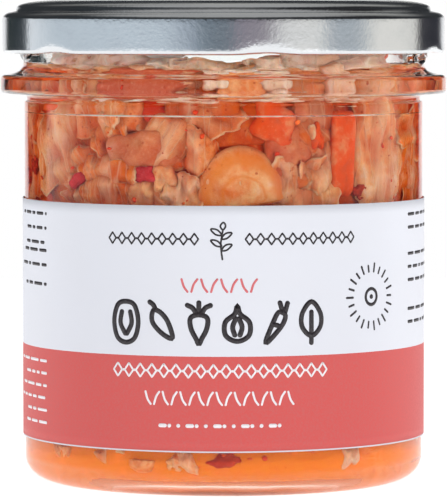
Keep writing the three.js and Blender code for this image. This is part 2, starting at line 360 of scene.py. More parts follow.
def clear_glass(name, bends):
    """Wavy glass, frosted underneath. bends is its index of refraction against what it meets."""
    material, shader = new_material(name)
    place = shader.place()
    broad = shader.noise(shader.stretched(place, (1, 1, 1.6)), 90, 2)
    x, y, z = shader.parts(place)
    under = (shader.off_axis(x, y) < FROST_R) * (z < FLOOR_EDGE_Z - 0.5 * MM)
    more = {"Specular Tint": GLASS_SHEEN, "IOR": bends, "Transmission Weight": 1.0}
    shader.surface(colours().glass, under * 0.45, shader.bump(broad, 0.35 * MM, 0.3), more)
    return material


def lid_tinplate():
    """Satin lacquered tinplate with a fine orange-peel surface."""
    material, shader = new_material("lid_tinplate")
    peel = shader.noise(shader.place(), 1400, 3)
    rub = shader.noise(shader.place(), 160, 4)
    colour = shader.blend(shader.between(rub, 0.35, 0.7, 0.0, 0.5), colours().tinplate, RUBBED_TINPLATE)
    rough = shader.between(rub, 0.3, 0.75, 0.13, 0.19)
    shader.surface(colour, rough, shader.bump(peel, 0.05 * MM, 0.6), {"Metallic": 1.0})
    return material


def lid_lacquer():
    """The pale lacquer inside the lid, with a faint mottle."""
    material, shader = new_material("lid_lacquer")
    mottle = shader.noise(shader.place(), 300, 3)
    rough = shader.between(mottle, 0.3, 0.7, 0.3, 0.42)
    shader.surface(shader.blend(mottle, *LACQUER), rough, shader.bump(mottle, 0.05 * MM, 0.4))
    return material


def label_paper():
    """Coated paper: bare above, coloured below, with bare cut edges and a soft grain."""
    material, shader = new_material("label_paper")
    place = shader.place()
    height = shader.parts(place)[2]
    grain = shader.noise(place, 2600, 4)
    cloud = shader.noise(place, 60, 3)
    border = shader.noise(place, 3000, 2) * (0.08 * MM)
    paper = shader.blend(shader.between(cloud, 0.3, 0.7, 0.0, 0.35), colours().paper, CLOUDED_PAPER)
    field = shader.blend(shader.between(grain, 0.35, 0.72), colours().field, THIN_FIELD)
    coloured = (height + border < sizes().field_top) * (height > LABEL_Z[0] + CUT_EDGE)
    rough = shader.between(grain, 0.3, 0.7, 0.42, 0.56)
    normal = shader.bump(grain, 0.02 * MM, 0.5)
    shader.surface(shader.blend(coloured, paper, field), rough, normal, {"Specular IOR Level": 0.25})
    return material


def ink(name, colour):
    """A dry film of printing ink, thinner here and there."""
    material, shader = new_material(name)
    cover = shader.noise(shader.place(), 2200, 3)
    thinner = [channel + 0.03 for channel in colour[:3]]
    film = shader.blend(shader.between(cover, 0.45, 0.75), colour, thinner)
    shader.surface(film, shader.between(cover, 0.3, 0.7, 0.35, 0.5))
    return material


def clear_brine(name, bends):
    """Orange brine. bends is its index of refraction against what it meets."""
    material, shader = new_material(name)
    shader.surface(colours().brine, 0.0, None, {"IOR": bends, "Transmission Weight": 1.0})
    return material


def brine_line():
    """A painted highlight where the brine's surface meets the glass, broken up and gone at the sides."""
    material, shader = new_material("brine_line")
    place = shader.place()
    sideways = shader.maths("ABSOLUTE", shader.parts(place)[0])
    broken = shader.noise(place, 150, 3)
    shown = shader.between(sideways, 24 * MM, 33 * MM, 1.0, 0.0)
    alpha = shader.between(broken, 0.35, 0.62, 0.1, 0.6) * shown
    shader.surface(BRINE_LINE, 0.15, None, {"Alpha": alpha})
    return material


def wet(shader, colour, rough, normal, soft=0.5):
    """Wet food that lets light in, with painted shade and an orange tint that grow the deeper it lies in the
    brine, for the light that the brine takes up.
    """
    x, y, z = shader.parts(shader.place())
    # Painted shade and orange tint, stronger the deeper a piece lies behind the glass; none at the foot and
    # fading out in the neck
    depth = shader.between(shader.off_axis(x, y), NECK_BORE_R + 0.1 * MM, CORE_R + 1 * MM)
    depth = depth * shader.between(z, 11 * MM, 15 * MM) * shader.between(z, 75 * MM, 79 * MM, 1.0, 0.0)
    more = {
        "Specular IOR Level": 0.12,
        "Subsurface Weight": soft,
        "Subsurface Radius": (1.0, 0.45, 0.22),
        "Subsurface Scale": 1.3 * MM,
    }
    shader.surface(shader.blend(depth, colour, THROUGH_BRINE, "MULTIPLY"), rough, normal, more)


def stained(shader):
    """Cream flesh, stained and blushed as each piece's own values say, unevenly, with patches of painted
    shade.
    """
    place = shader.place()
    cloud = shader.noise(place, 150, 4, 0.6)
    drift = shader.noise(place, 420, 4, 0.65, 0.8)
    stain = shader.attribute("stain") + (cloud - 0.5) * 2.6 + (drift - 0.5) * 1.8
    blush = shader.attribute("blush") + (shader.noise(place, 190, 3) - 0.5) * 1.6
    flecks = shader.between(shader.cells(place, 620), 0.13, 0.2, 1.0, 0.0) * (drift > 0.5)
    colour = shader.blend(shader.limited(stain), colours().cream, colours().stain)
    colour = shader.blend(shader.limited(stain * -1.0), colour, PALE_FLESH)
    colour = shader.blend(shader.limited(stain - 1.2), colour, MURKY_FLESH)
    colour = shader.blend(shader.limited(blush * 0.85), colour, colours().blush)
    # Painted shade: cloudy patches darkened as if they lay deeper in the brine
    murk = shader.between(shader.noise(place, 95, 2), 0.42, 0.68, 0.0, 0.6)
    colour = shader.blend(murk * shader.limited(2.0 - stain), colour, CLOUDED_FLESH, "MULTIPLY")
    fine = shader.between(shader.noise(place, 2400, 4, 0.7, 0.6), 0.52, 0.66, 0.0, 0.4)
    colour = shader.blend(fine * shader.limited(2.2 - stain), colour, FINE_MOTTLE, "MULTIPLY")
    return shader.blend(flecks * 0.7, colour, SPICE_FLECK)


def cabbage_flesh():
    """Cabbage: veined, paler along the ribs, darker and thinner at the torn rim, with a painted highlight on
    its very edge.
    """
    material, shader = new_material("cabbage_flesh")
    place = shader.place()
    local = shader.attribute("local", "Vector")
    across = shader.stretched(local, (1.0, 0.16, 1.0))
    streak = shader.noise(across, 900, 4, 0.6, 0.4)
    veins = shader.between(shader.cells(across, 520, "DISTANCE_TO_EDGE"), 0.0, 0.09, 1.0, 0.0)
    rim = shader.attribute("edge")
    beside = shader.maths("ABSOLUTE", shader.parts(local)[0] + (streak - 0.5) * (2.5 * MM))
    midrib = shader.between(beside, 0.4 * MM, 2.2 * MM, 1.0, 0.0)
    shown = shader.limited(2.2 - shader.attribute("stain"))
    colour = shader.blend(midrib * shown * 0.45, stained(shader), CABBAGE["midrib"])
    colour = shader.blend(shader.between(streak, 0.5, 0.8, 0.0, 0.5) * shown, colour, CABBAGE["streak"])
    colour = shader.blend(veins * shown * 0.4, colour, CABBAGE["vein"])
    colour = shader.blend(shader.between(rim, 0.80, 0.90) * 0.35, colour, TORN_RIM["band"])
    # Painted highlight along the very edge of the piece
    colour = shader.blend(shader.between(rim, 0.91, 0.97, 0.0, 0.85), colour, TORN_RIM["edge"])
    height = streak * 0.5 + shader.noise(place, 1100, 4) * 0.3 + veins * 0.25
    height = height * (shown * 0.75 + 0.25)
    wet(shader, colour, shader.between(streak, 0.3, 0.8, 0.28, 0.5), shader.bump(height, 0.4 * MM, 0.9))
    return material


def daikon_flesh():
    """Daikon: fine grain, faint rings and a clearer rim."""
    material, shader = new_material("daikon_flesh")
    local = shader.attribute("local", "Vector")
    rim = shader.attribute("edge")
    grain = shader.noise(local, 1700, 4, 0.6)
    reach = rim + (shader.noise(local, 170, 2) - 0.5) * 0.25
    band = shader.between(reach, 0.60, 0.76) * shader.between(reach, 0.84, 0.96, 1.0, 0.0)
    line = shader.between(shader.maths("ABSOLUTE", reach - 0.46), 0.0, 0.07, 1.0, 0.0)
    ring = (band + line * 0.8) * shader.attribute("rings")
    colour = shader.blend(shader.between(grain, 0.45, 0.8, 0.0, 0.3), stained(shader), DAIKON["grain"])
    colour = shader.blend(ring * 0.75, colour, DAIKON["ring"])
    colour = shader.blend(shader.between(rim, 0.9, 1.0, 0.0, 0.45), colour, DAIKON["rim"])
    height = grain * 0.5 + shader.noise(local, 500, 3) * 0.5 + ring * 0.5
    wet(shader, colour, shader.between(grain, 0.3, 0.7, 0.3, 0.45), shader.bump(height, 0.12 * MM, 0.6))
    return material


def plain_flesh(name, colour, paler, darker):
    """Flesh of one colour with clouding, fine speckle and pinholes."""
    material, shader = new_material(name)
    place = shader.place()
    cloud = shader.noise(place, 260, 4, 0.6)
    speck = shader.between(shader.cells(place, 1300), 0.12, 0.2, 1.0, 0.0)
    flesh = shader.blend(shader.between(cloud, 0.5, 0.75), colour, paler)
    flesh = shader.blend(shader.between(cloud, 0.45, 0.25), flesh, darker)
    flesh = shader.blend(speck * 0.4, flesh, [min(1.0, channel * 1.25) for channel in paler])
    wet(shader, flesh, shader.between(cloud, 0.3, 0.7, 0.24, 0.4), shader.bump(cloud, 0.3 * MM, 0.5), 0.3)
    return material


def arc(r, z, across, up, start, end, steps):
    """Points of an elliptical arc, from one angle to another in degrees."""
    turns = [math.radians(start + (end - start) * i / steps) for i in range(steps + 1)]
    return [(r + across * math.cos(t), z + up * math.sin(t)) for t in turns]


def filled_in(outline, longest):
    """The same outline with points added, so that no stretch is longer than longest."""
    dense = [outline[0]]
    for (r0, z0), (r1, z1) in zip(outline, outline[1:]):
        parts = max(1, math.ceil(math.hypot(r1 - r0, z1 - z0) / longest))
        dense += [(r0 + (r1 - r0) * i / parts, z0 + (z1 - z0) * i / parts) for i in range(1, parts + 1)]
    return dense


def spun(outline, steps, degrees=360.0, closed=False, start=0.0):
    """An outline of radius and height, turned round the jar's axis."""
    bm = bmesh.new()
    verts = [bm.verts.new((r, 0.0, z)) for r, z in outline]
    pairs = list(zip(verts, verts[1:])) + ([(verts[-1], verts[0])] if closed else [])
    edges = [bm.edges.new(pair) for pair in pairs]
    bmesh.ops.rotate(bm, cent=(0, 0, 0), matrix=Matrix.Rotation(math.radians(start), 3, "Z"), verts=verts)
    bmesh.ops.spin(
        bm,
        geom=verts + edges,
        cent=(0, 0, 0),
        axis=(0, 0, 1),
        angle=math.radians(degrees),
        steps=steps,
        use_merge=degrees == 360.0,
    )
    bmesh.ops.remove_doubles(bm, verts=bm.verts, dist=1e-7)
    return bm


def finished(name, bm, material, slot, *replaced):
    """Makes a mesh into a smooth piece of the jar that rides on its body."""
    bmesh.ops.recalc_face_normals(bm, faces=bm.faces)
    mesh = bpy.data.meshes.new(name)
    bm.to_mesh(mesh)
    bm.free()
    mesh.shade_smooth()
    mesh.materials.append(material)
    piece = bpy.data.objects.new(name, mesh)
    bpy.context.scene.collection.objects.link(piece)
    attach(piece, BODY)
    if replaced:
        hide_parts(*replaced)
    return piece


def let_light_in(piece):
    """Clear pieces are seen, but they don't hold light back from what is inside."""
    piece.visible_shadow = False
    piece.visible_diffuse = False


def joined(parts):
    """Several meshes in one."""
    whole = bmesh.new()
    carrier = bpy.data.meshes.new("carrier")
    for part in parts:
        bmesh.ops.recalc_face_normals(part, faces=part.faces)
        part.to_mesh(carrier)
        part.free()
        whole.from_mesh(carrier)
    bpy.data.meshes.remove(carrier)
    return whole


def body_bore():
    """Inside radius of the straight wall."""
    return sizes().body_radius - sizes().wall


def bore_radius(z):
    """Inside radius of the glass at a height."""
    corner_z = FLOOR_EDGE_Z + FLOOR_CORNER["up"]
    if z < corner_z:
        down = min(1.0, (corner_z - z) / FLOOR_CORNER["up"])
        return body_bore() - FLOOR_CORNER["across"] * (1 - math.sqrt(1 - down * down))
    low, high = BORE_SLOPE["bottom"], BORE_SLOPE["top"]
    share = min(1.0, max(0.0, (z - low) / (high - low)))
    return body_bore() + (NECK_BORE_R - body_bore()) * share


def inner_outline(out=0.0, top=None):
    """The inside of the glass from its upper end down to the axis, moved outwards by out."""
    bore = body_bore()
    across, up = FLOOR_CORNER["across"], FLOOR_CORNER["up"]
    upper = [(NECK_BORE_R + out, BORE_SLOPE["top"]), (bore + out, BORE_SLOPE["bottom"])]
    if top is not None:
        below = min(top, BORE_SLOPE["bottom"]) - 0.1 * MM
        upper = [(bore_radius(top) + out, top), (bore + out, below)]
    lower = arc(bore - across, FLOOR_EDGE_Z + up, across + out, up + out, 0, -90, 10)
    rise = FLOOR_MID_Z - FLOOR_EDGE_Z
    floor = [
        ((bore - across) * share, FLOOR_EDGE_Z - out + rise * (1 - share**2))
        for share in (0.85, 0.7, 0.55, 0.4, 0.25, 0.1, 0.0)
    ]
    return upper + lower + floor


def glass_outline():
    """Radius and height of the glass, from the middle of its base round to the middle of its floor."""
    body_r = sizes().body_radius - SHY
    foot_r = body_r - BASE_CORNER["across"]
    ring_r = foot_r - BEARING_WIDTH
    hollow = [(ring_r * i / 12, PUSH_UP * (1 - (i / 12) ** 4)) for i in range(12)]
    edge = BEAD["edge"]
    outside = [
        (ring_r, 0.15 * MM),
        (ring_r + 0.2 * MM, 0.0),
        *arc(foot_r, BASE_CORNER["up"], BASE_CORNER["across"], BASE_CORNER["up"], -90, 0, 16),
        *arc(body_r - 0.5 * MM, SHOULDER_Z - 0.5 * MM, 0.5 * MM, 0.5 * MM, 0, 80, 5),
        (GROOVE["r"], GROOVE["bottom"]),
        (GROOVE["r"], GROOVE["top"]),
        (GROOVE["r"] + 0.5 * MM, BEAD["bottom"]),
        *arc(BEAD_R - edge, BEAD["bottom"] + edge, edge, edge, -90, 0, 6),
        *arc(BEAD_R - edge, BEAD["top"] - edge, edge, edge, 0, 90, 6),
        (NECK_R + 2.2 * MM, BEAD["top"] + 0.25 * MM),
        (NECK_R + 0.8 * MM, BEAD["top"] + 0.7 * MM),
        (NECK_R, BEAD["top"] + 1.7 * MM),
        *arc(NECK_R - RIM_EDGE, RIM_Z - RIM_EDGE, RIM_EDGE, RIM_EDGE, 0, 90, 5),
        *arc(NECK_BORE_R + RIM_EDGE, RIM_Z - RIM_EDGE, RIM_EDGE, RIM_EDGE, 90, 180, 5),
    ]
    return filled_in(hollow + outside + inner_outline(), GLASS_ROW)


def thread_height(angle, z):
    """How far a thread stands out of the neck at this place, from 0 to 1."""
    tallest = 0.0
    for i in range(THREAD["count"]):
        first = THREAD["start"] + i * 360 / THREAD["count"]
        along = ((math.degrees(angle) - first) % 360) / THREAD["span"]
        if along > 1:
            continue
        fade = min(1.0, along / THREAD_FADE, (1 - along) / THREAD_FADE)
        off = (z - THREAD["z"] - THREAD["rise"] * along) / THREAD_HALF
        if abs(off) < 1:
            tallest = max(tallest, fade * min(1.0, 1.6 * math.cos(off * math.pi / 2)))
    return tallest


def is_inside(spot):
    """Whether a point of the glass is on its inner wall or floor."""
    off_axis = math.hypot(spot.x, spot.y)
    return off_axis < bore_radius(spot.z) + 0.6 * MM and spot.z > FLOOR_EDGE_Z - 0.3 * MM


def shape_glass(vert):
    """Threads on the neck, and the slight waves that pressed glass has."""
    x, y, z = vert.co
    r = math.hypot(x, y)
    if r < 1 * MM:
        return
    angle = math.atan2(y, x)
    new_r, new_z = r, z
    inside = is_inside(vert.co) and z > FLOOR_EDGE_Z + 1 * MM
    wave = noise.noise(Vector((3.1 * math.cos(angle), 3.1 * math.sin(angle), z / (14 * MM))))
    if inside:
        near_shoulder = max(0.0, 1 - abs(z - SHOULDER_Z + 1 * MM) / (5 * MM))
        ripple = noise.noise(Vector((7 * math.cos(angle), 7 * math.sin(angle), z / (6 * MM) + 9)))
        new_r += 0.10 * MM * wave + near_shoulder * 0.16 * MM * ripple
        new_z += near_shoulder * 0.9 * MM * (wave + 0.5 * ripple)
    elif z > BEAD["top"] + 1.4 * MM and r > NECK_R - 0.3 * MM:
        new_r += THREAD_OUT * thread_height(angle, z)
    elif BASE_CORNER["up"] < z < SHOULDER_Z - 1 * MM:
        new_r -= 0.03 * MM * (1 + wave)
    vert.co = (new_r * math.cos(angle), new_r * math.sin(angle), new_z)


class JAR_OT_glass(bpy.types.Operator):
    """Turn the glass jar, with its threads, bead and hollow base"""

    bl_idname = "jar.make_glass"
    bl_label = "Glass"

    def execute(self, context):
        bm = spun(glass_outline(), GLASS_STEPS)
        for vert in bm.verts:
            shape_glass(vert)
        for face in bm.faces:
            middle = face.calc_center_median()
            if is_inside(middle) and middle.z < WET_TO:
                face.material_index = 1
        jar = finished("jar_glass", bm, clear_glass("clear_glass", GLASS_IOR), "clear_glass", "glass_jar")
        jar.data.materials.append(clear_glass("wet_glass", GLASS_IOR / BRINE_IOR))
        let_light_in(jar)
        return {"FINISHED"}


def lid_outline():
    """The lid's sheet as one closed run: over the outside, round the curl and back under."""
    across, up = LID_SHOULDER["across"], LID_SHOULDER["up"]
    shoulder_r = LID_R - across
    shoulder_z = LID_SHOULDER["z"] - up
    curl_z = LID_FOOT + CURL_R
    edge = LID_PANEL["rim"] - LID_PANEL["edge"]
    panel_up = LID_TOP - LID_PANEL["edge"]
    ring_z = LID_TOP - LID_BUTTON["drop"]
    button, ring, slope = LID_BUTTON["r"], LID_BUTTON["ring"], LID_BUTTON["slope"]
    outer = [
        (0.0, LID_TOP),
        (button - 0.6 * MM, LID_TOP),
        (button, LID_TOP - 0.03 * MM),
        (button + slope, ring_z + 0.03 * MM),
        (button + slope + 0.6 * MM, ring_z),
        (ring - 0.6 * MM, ring_z),
        (ring, ring_z + 0.03 * MM),
        (ring + slope, LID_TOP - 0.03 * MM),
        *arc(LID_PANEL["r"] - LID_PANEL_ROUND, LID_PANEL["edge"], LID_PANEL_ROUND, panel_up, 88, 6, 16),
        (LID_PANEL["r"] + 0.12 * MM, LID_PANEL["edge"] - 0.1 * MM),
        (LID_PANEL["r"] + 0.15 * MM, LID_PANEL["foot"]),
        *arc(shoulder_r, shoulder_z, across, up, 55, 0, 10),
        (LID_R, curl_z + CURL_R),
        *arc(LID_R - CURL_R, curl_z, CURL_R, CURL_R, 0, -200, 14),
    ]
    wall_r = LID_R - LID_SHEET
    inner = [
        (wall_r - 0.3 * MM, curl_z + CURL_R + 0.2 * MM),
        (wall_r, curl_z + CURL_R + 1.0 * MM),
        *arc(shoulder_r, shoulder_z, across - LID_SHEET, up - LID_SHEET, 0, 90, 6),
        (LID_PANEL["r"] - LID_SHEET, LID_PANEL["foot"] - LID_SHEET),
        (LID_PANEL["r"] - LID_SHEET, LID_PANEL["edge"]),
        (LID_PANEL["r"] - 2 * edge, LID_PANEL["rim"] - LID_SHEET),
        (ring + slope, LID_TOP - LID_SHEET),
        (ring, ring_z - LID_SHEET),
        (0.0, ring_z - LID_SHEET),
    ]
    return filled_in(outer, 1.2 * MM) + inner


def lug_share(angle):
    """How much a lug presses the lid's edge in at this angle, from 0 to 1."""
    pitch = 360 / LUG["count"]
    turn = math.degrees(angle) - LUG["first"]
    off = (turn - pitch * round(turn / pitch)) / LUG["half"]
    return 0.0 if abs(off) >= 1 else math.cos(off * math.pi / 2) ** 2


def shape_lid(vert):
    """Lugs pressed into the rolled edge."""
    x, y, z = vert.co
    r = math.hypot(x, y)
    if z > LID_FOOT + LUG_PRESS["high"] or r < LID_R - 3 * MM:
        return
    angle = math.atan2(y, x)
    share = lug_share(angle) * (1 - (z - LID_FOOT) / LUG_PRESS["high"]) ** 2
    r -= LUG_PRESS["inward"] * share
    vert.co = (r * math.cos(angle), r * math.sin(angle), z + LUG_PRESS["lift"] * share)


def is_under_lid(face):
    """Whether a face of the lid looks at the jar."""
    outwards = Vector((face.center.x, face.center.y, 0)).normalized()
    inside = face.center.z > LID_FOOT + 2.4 * CURL_R or face.center.dot(outwards) < LID_R - CURL_R
    return inside and (face.normal.dot(outwards) < -0.3 or face.normal.z < -0.5)


class JAR_OT_lid(bpy.types.Operator):
    """Turn the tinplate lid and press its lugs"""

    bl_idname = "jar.make_lid"
    bl_label = "Lid"

    def execute(self, context):
        bm = spun(lid_outline(), LID_STEPS)
        for vert in bm.verts:
            shape_lid(vert)
        lid = finished("twist_lid", bm, lid_tinplate(), "lid_tinplate", "lid")
        lid.data.materials.append(lid_lacquer())
        for face in lid.data.polygons:
            face.material_index = int(is_under_lid(face))
        return {"FINISHED"}


def on_label(across, z, lift):
    """The place of a point of the label's sheet, from its distance across and its height."""
    r = PAPER_R + lift
    turn = across / LABEL_R
    return Vector((r * math.sin(turn), -r * math.cos(turn), z))


class JAR_OT_label(bpy.types.Operator):
    """Wrap the paper label round the jar"""

    bl_idname = "jar.make_label"
    bl_label = "Label"

    def execute(self, context):
        inner = PAPER_R - LABEL_THICK
        low, high = LABEL_Z[0] + SHY, LABEL_Z[1] - SHY
        rows = [low + (high - low) * i / 24 for i in range(25)]
        band = [(PAPER_R, z) for z in rows] + [(inner, high), (inner, low)]
        turn = 360.0 - LABEL_OPEN
        bm = spun(band, 232, turn, True, 90 + LABEL_OPEN / 2)
        bmesh.ops.holes_fill(bm, edges=[edge for edge in bm.edges if edge.is_boundary], sides=0)
        finished("label_band", bm, label_paper(), "label_paper", "label")
        return {"FINISHED"}


def eased(before, start, end, after, share):
    """A value on the smooth curve from start to end, with one more value on either side."""
    slope = end - before
    bend = 2 * before - 5 * start + 4 * end - after
    twist = 3 * start - before - 3 * end + after
    return 0.5 * (2 * start + slope * share + bend * share**2 + twist * share**3)


def smooth_path(points, closed=False, steps=8):
    """A rounded path through a few points."""
    count = len(points)
    path = []
    for i in range(count if closed else count - 1):
        near = [(i + k) % count if closed else min(max(i + k, 0), count - 1) for k in (-1, 0, 1, 2)]
        for k in range(steps):
            path.append(tuple(eased(*axis, k / steps) for axis in zip(*(points[n] for n in near))))
    return path + [path[0] if closed else points[-1]]


def resampled(path, spacing):
    """Points at an even spacing along a path."""
    spots = [Vector(p) for p in path]
    lengths = [0.0]
    for a, b in zip(spots, spots[1:]):
        lengths.append(lengths[-1] + (b - a).length)
    count = max(2, math.ceil(lengths[-1] / spacing))
    even = []
    k = 0
    for i in range(count + 1):
        want = lengths[-1] * i / count
        while k < len(spots) - 2 and lengths[k + 1] < want:
            k += 1
        stretch = max(1e-9, lengths[k + 1] - lengths[k])
        even.append(spots[k].lerp(spots[k + 1], (want - lengths[k]) / stretch))
    return even


ROUND_END = (1.0, 0.92, 0.75, 0.5, 0.25)  # where a stroke's round end gets its points


def stroke(path, width, closed=False):
    """A line of ink along a path of millimetres on the label, with round ends."""
    half = width / 2
    spots = resampled(path, min(0.5, max(0.12, half * 0.7)))
    if not closed:
        ahead = (spots[1] - spots[0]).normalized()
        behind = (spots[-2] - spots[-1]).normalized()
        first = [spots[0] - ahead * half * k for k in ROUND_END]
        last = [spots[-1] - behind * half * k for k in reversed(ROUND_END)]
        spots = first + spots + last
    bm = bmesh.new()
    cells = len(spots) - 1
    bmesh.ops.create_grid(bm, x_segments=cells, y_segments=1, size=1)
    total = len(spots)
    for vert in bm.verts:
        i = round((vert.co.x + 1) / 2 * cells)
        side = 1 if vert.co.y > 0 else -1
        before, after = spots[max(0, i - 1)], spots[min(total - 1, i + 1)]
        if closed and i in (0, cells):
            before, after = spots[-2], spots[1]
        along = (after - before).normalized()
        reach = half
        if not closed:
            from_end = min((spots[i] - spots[0]).length, (spots[i] - spots[-1]).length)
            reach = half * math.sqrt(max(0.0, 1 - max(0.0, 1 - from_end / half) ** 2))
        spot = spots[i] + Vector((-along.y, along.x)) * side * max(reach, 0.004)
        vert.co = on_label(spot.x * MM, spot.y * MM, INK_GAP)
    made = bmesh.ops.extrude_face_region(bm, geom=bm.faces[:], use_keep_orig=True)
    for vert in made["geom"]:
        if isinstance(vert, bmesh.types.BMVert):
            flat = Vector((vert.co.x, vert.co.y, 0)).normalized()
            vert.co += flat * INK_THICK
    if closed:
        bmesh.ops.remove_doubles(bm, verts=bm.verts, dist=1e-7)
    return bm


def moved(paths, x, y, size=1.0):
    return [[(x + px * size, y + py * size) for px, py in path] for path in paths]


# Each picture's lines, in millimetres round its middle: whether the line closes, and its corners
PICTURES = {
    "cabbage": [
        (
            True,
            [(0, -3.9), (1.9, -2.9), (2.6, 0.2), (1.8, 3.2)]
            + [(0, 3.9), (-1.8, 3.2), (-2.6, 0.2), (-1.9, -2.9)],
        ),
        (False, [(-0.2, -2.2), (-1.2, -0.2), (-0.9, 1.9)]),
        (False, [(0.2, -2.2), (1.2, -0.2), (0.9, 1.9)]),
    ],
    "chilli": [
        (True, [(-1.6, 2.3), (-0.2, 2.0), (1.3, 0.2), (2.2, -2.9), (0.0, -1.9), (-1.8, 0.2)]),
        (False, [(-1.2, 2.6), (-1.6, 3.4), (-2.3, 3.9)]),
    ],
    "daikon": [
        (
            True,
            [(0, 1.6), (1.6, 1.0), (1.5, -1), (0.5, -3), (0, -4), (-0.5, -3), (-1.5, -1), (-1.6, 1.0)],
        ),
        (False, [(0, 1.8), (0, 3.9)]),
        (False, [(-0.5, 1.8), (-1.2, 2.9), (-2.2, 3.4)]),
        (False, [(0.5, 1.8), (1.2, 2.9), (2.2, 3.4)]),
    ],
    "garlic": [
        (
            True,
            [(0, 3.4), (0.5, 1.8), (2.3, 0.2), (2.2, -2.3)]
            + [(0, -3.4), (-2.2, -2.3), (-2.3, 0.2), (-0.5, 1.8)],
        ),
        (False, [(-0.3, 0.9), (-0.9, -0.7), (-0.5, -2.2)]),
        (False, [(0.3, 0.9), (0.9, -0.7), (0.5, -2.2)]),
    ],
    "carrot": [
        (True, [(1.3, 2.0), (2.0, 1.2), (1.0, -0.9), (-1.9, -3.8), (-0.4, 0.2), (0.5, 1.9)]),
        (False, [(1.9, 2.0), (2.4, 3.7)]),
        (False, [(1.4, 2.2), (0.9, 3.8)]),
        (False, [(-0.2, -0.3), (0.5, -0.5)]),
    ],
    "leaf": [
        (True, [(0, 3.9), (1.9, 1.7), (1.9, -0.9), (0, -2.6), (-1.9, -0.9), (-1.9, 1.7)]),
        (False, [(0, 1.9), (0, -0.5), (0, -3.9)]),
    ],
}
BIG_ROW = {"z": 32.8, "middle": -1.0, "pitch": 7.15, "size": 0.98}
SEAL = {"x": 30.9, "z": 37.0, "r": 5.5, "ticks": 22, "tick": 1.5, "width": 0.42}
SPRIG_LEAVES = ((1, -1.7), (-1, -0.9), (1, 0.5), (-1, 1.2))  # the side and the foot of each
DOT = 0.02  # a stroke this short is a round dot


def sprig_picture():
    """A small sprig: a stem and leaves on each side."""
    stem = smooth_path([(0.2, -3.4), (-0.1, -0.6), (0.3, 2.2)])
    leaves = []
    for side, low in SPRIG_LEAVES:
        corners = [(0.05, low), (0.8 * side, low + 1.0), (2.0 * side, low + 1.1), (1.1 * side, low + 0.1)]
        leaves.append(smooth_path(corners, True, 6))
    tip = smooth_path([(0.3, 2.2), (-0.2, 2.9), (0.4, 3.6), (0.8, 2.9)], True, 6)
    return [stem, *leaves, tip]


def strokes(paths, width):
    return [stroke(path, width, path[0] == path[-1]) for path in paths]


def big_row():
    """The row of pictures in the middle of the label."""
    made = []
    for i, lines in enumerate(PICTURES.values()):
        x = BIG_ROW["middle"] + (i - (len(PICTURES) - 1) / 2) * BIG_ROW["pitch"]
        paths = [smooth_path(corners, closed) for closed, corners in lines]
        made += strokes(moved(paths, x, BIG_ROW["z"], BIG_ROW["size"]), sizes().stroke / MM)
    return made


def spread(start, end, pitch):
    """Evenly spaced places from start to end, about pitch apart."""
    count = max(1, round((end - start) / pitch))
    return [start + (i + 0.5) * (end - start) / count for i in range(count)]


def diamond_row(start, end, z, pitch, high, width):
    """A border of small diamonds with a dot between each two."""
    spots = spread(start, end, pitch)
    half, tall = high * 0.36, high / 2
    made = []
    for i, x in enumerate(spots):
        diamond = [(x - half, z), (x, z + tall), (x + half, z), (x, z - tall), (x - half, z)]
        made.append(stroke(diamond, width, True))
        if i < len(spots) - 1:
            dot = x + (end - start) / len(spots) / 2
            made.append(stroke([(dot, z), (dot + DOT, z)], width * 1.3))
    return made


def leaf_row(start, end, z, pitch, high, width):
    """A border of slanted leaves, one up and one down."""
    half = pitch * 0.30
    made = []
    for i, x in enumerate(spread(start, end, pitch)):
        tall = high / 2 * (1 if i % 2 else -1)
        leaf = smooth_path([(x - half, z - tall), (x - half * 0.2, z + tall * 0.2), (x + half, z + tall)])
        made.append(stroke(leaf, width))
    return made


def bead_row(start, end, z, pitch, size):
    """A border of dots, every third one drawn out."""
    spots = spread(start, end, pitch)
    return [stroke([(x, z), (x + (DOT if i % 3 else 0.9), z)], size) for i, x in enumerate(spots)]


def seal():
    """A ring of ticks round a dotted circle."""
    x, z = SEAL["x"], SEAL["z"]
    made = []
    for i in range(SEAL["ticks"]):
        turn = 2 * math.pi * i / SEAL["ticks"]
        reach = (SEAL["r"] - SEAL["tick"] / 2, SEAL["r"] + SEAL["tick"] / (2 if i % 2 else 4))
        ends = [(x + r * math.cos(turn), z + r * math.sin(turn)) for r in reach]
        made.append(stroke(ends, SEAL["width"]))
    made.append(stroke(arc(x, z, 1.5, 1.5, 0, 360, 28), 0.62, True))
    made.append(stroke([(x, z), (x + DOT, z)], 0.9))
    return made


def fine_print(draw, start, end, rows, pitch, high, from_right=False, fill=(0.45, 1.0)):
    """Lines of plain bars, like small print seen from too far to read."""
    made = []
    for z_top, count in rows:
        for i in range(count):
            z = z_top - i * pitch
            length = (end - start) * draw.uniform(*fill)
            x = end - length if from_right else start
            stop = x + length
            while x < stop - 0.5:
                word = min(draw.uniform(1.4, 4.5), stop - x)
                begin = x + high / 2
                made.append(stroke([(begin, z), (max(begin + 0.05, x + word - high / 2), z)], high))
                x += word + 0.75
    return made


